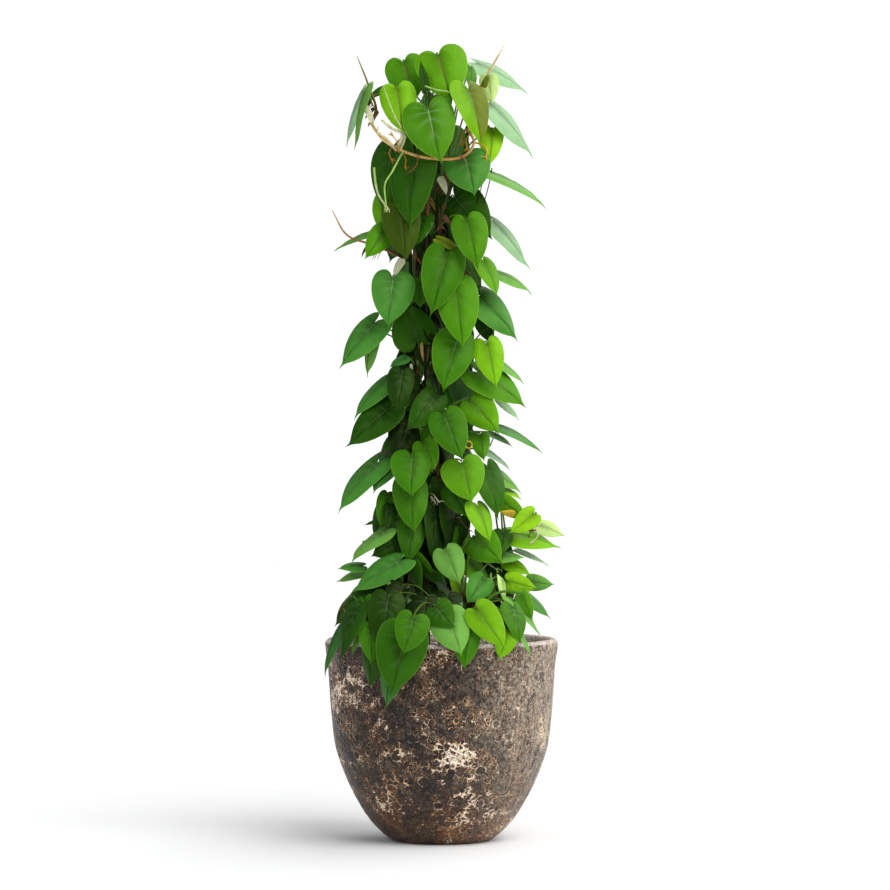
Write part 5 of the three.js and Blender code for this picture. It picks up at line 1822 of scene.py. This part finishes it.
    def vine(self, name: str, growth: Growth, leaves: Sequence[Leaf], lines: Lines) -> None:
        """Gathers one vine's stalks."""
        draw = Draw(self.seed + len(name) * 13)
        joints = [leaf.petiole[-1] for leaf in leaves]
        plan, paths = VINES[name], growth.lines[name]
        self.stem(lines, paths[0], self.stem_radius, joints, draw)
        shoots, spikes = paths[1 : 1 + len(plan.shoots)], paths[1 + len(plan.shoots) :]
        for points in shoots:
            ring = name == LOOP and len(points) > 4
            skins = LOOP_TONES if ring else (Bark.PETIOLE.value, Bark.STEM.value)
            self.stem(lines, points, self.shoot_radius, joints, draw, skins, 0.0 if ring else 0.6)
        for points, first, tones in zip(spikes, plan.spikes, plan.spike_tones):
            self.spike(lines, points if np.linalg.norm(points[0] - first[0]) < 60 else first, tones)
        for leaf in leaves:
            self.petiole(lines, leaf, draw)
        self.roots(lines, joints, draw)

    def build(self, growth: Growth, leaves: Sequence[Leaf], tube: ShapeTree) -> list[Object]:
        """Builds all the vines in place of their solids."""
        wax, paper, skin = LeafFinish().material(), PaperFinish().material(), StalkFinish().material()
        shade = growth.shade_leaves()
        kinds = [
            ("leaves", BladeBuilder(BladeShape()), leaves, wax),
            ("shade_leaves", BladeBuilder(SHADE_BLADE), shade, wax),
            ("sheaths", BladeBuilder(SHEATH_BLADE), self.sheaths(growth), paper),
        ]
        lines = {name: Lines() for name in VINES}
        for name in VINES:
            self.vine(name, growth, [leaf for leaf in [*leaves, *shade] if leaf.vine == name], lines[name])
        self.seen_lines(lines, growth, Draw(self.seed))
        made = []
        for number, name in enumerate(VINES):
            pieces = [lines[name].build(f"{name}_stalks", tube, self.sides, skin)]
            for kind, builder, all_leaves, material in kinds:
                own = [leaf for leaf in all_leaves if leaf.vine == name]
                if own:
                    blades = builder.build(f"{name}_{kind}", own, Draw(self.seed + number))
                    blades.data.materials.append(material)
                    pieces.append(blades)
            for piece in pieces:
                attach(piece, "root")
                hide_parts(name)
            made += pieces
        return made


@dataclass
class Studio:
    """Pale floor, soft key lights from the right, a cool fill from the left, and the camera."""

    floor_radii: tuple[float, ...] = (0.6, 2.0, 5.0, 14.0)
    floor_sides: int = 64
    key_aim: Triple = (0.66, -0.72, 0.98)
    key_strength: float = 2.75
    key_softness: float = 0.9
    rear_aim: Triple = (0.66, 0.6, 0.95)
    rear_strength: float = 1.5
    rear_softness: float = 1.2
    fill_place: Triple = (-2.6, -2.4, 2.6)
    fill_size: float = 1.6
    fill_power: float = 26.0
    fill_colour: Colour = (0.86, 0.93, 1.0)
    plant_middle: Triple = (0.0, 0.0, 0.8)
    sky: float = 0.34
    gloss_sky: float = 0.12
    backdrop: float = 1.05

    def build(self) -> None:
        """Builds the studio."""
        self.floor()
        self.world()
        self.light("key", "SUN", self.key_aim, energy=self.key_strength, angle=self.key_softness)
        self.light("rear key", "SUN", self.rear_aim, energy=self.rear_strength, angle=self.rear_softness)
        fill = self.light("left fill", "AREA", Vector(self.fill_place) - Vector(self.plant_middle),
                          size=self.fill_size, energy=self.fill_power, color=self.fill_colour)
        fill.location = self.fill_place
        self.camera()

    def floor(self) -> None:
        """Lays the pale floor."""
        made = mesh_object("studio_floor", *disc([(radius, 0.0) for radius in self.floor_radii], 0.0, self.floor_sides))
        finish = Finish("pale floor")
        soft = finish.nodes.noise(finish.place, 3.0, 4.0)
        colour = finish.nodes.mix(soft, (0.8, 0.8, 0.8), (0.82, 0.82, 0.82))
        made.data.materials.append(finish.done(Base_Color=colour, Roughness=0.8, Specular_IOR_Level=0.1))

    def world(self) -> None:
        """Lights the studio evenly and shows pure white behind it."""
        world = bpy.data.worlds.new("studio")
        world.use_nodes = True
        bpy.context.scene.world = world
        nodes = Nodes(world.node_tree)
        background = world.node_tree.nodes["Background"]
        rays = nodes.values(nodes.add("ShaderNodeLightPath"))
        strength = nodes.fit(rays["Is Glossy Ray"], 0.0, 1.0, self.sky, self.gloss_sky)
        nodes.feed(background.inputs["Color"], (1.0, 1.0, 1.0))
        nodes.feed(background.inputs["Strength"], nodes.most(strength, rays["Is Camera Ray"] * self.backdrop))

    @staticmethod
    def light(name: str, kind: str, aim: Sequence[float], **settings: Any) -> Object:
        """Adds a light that shines from the aim's side."""
        light = bpy.data.lights.new(name, kind)
        for key, value in settings.items():
            setattr(light, key, value)
        made = bpy.data.objects.new(name, light)
        made.rotation_euler = Vector(aim).to_track_quat("Z", "Y").to_euler()
        bpy.context.scene.collection.objects.link(made)
        return made

    def camera(self) -> None:
        """Adds the camera at the photograph's place and frame."""
        camera = bpy.data.cameras.new("camera")
        camera.sensor_width, camera.lens = VIEW.sensor, VIEW.lens()
        made = bpy.data.objects.new("camera", camera)
        made.location = Vector(VIEW.eye) * MM
        made.rotation_euler = (math.pi / 2, 0, 0)
        bpy.context.scene.collection.objects.link(made)
        bpy.context.scene.camera = made
        bpy.context.scene.view_settings.view_transform = "Standard"


def report(pieces: Sequence[Object]) -> None:
    """Logs each piece with its number of faces."""
    for piece in pieces:
        LOG.info("built %s: %d faces", piece.name, len(piece.data.polygons))


def main() -> None:
    """Builds every piece in order, then the studio."""
    logging.basicConfig(level=logging.INFO, format="%(message)s")
    for stray in [o for o in bpy.data.objects if o.name in ("Cube", "Light", "Camera")]:
        bpy.data.objects.remove(stray)
    relief, tube, scatter = relief_tree(), tube_tree(), scatter_tree()
    report([Pot().build(relief)])
    report(Soil().build(scatter))
    report([Stake().build(relief)])
    growth = Growth()
    leaves = growth.leaves()
    LOG.info("%d leaves found in the solids", len(leaves))
    report(Foliage().build(growth, leaves, tube))
    Studio().build()


if __name__ == "__main__":
    main()
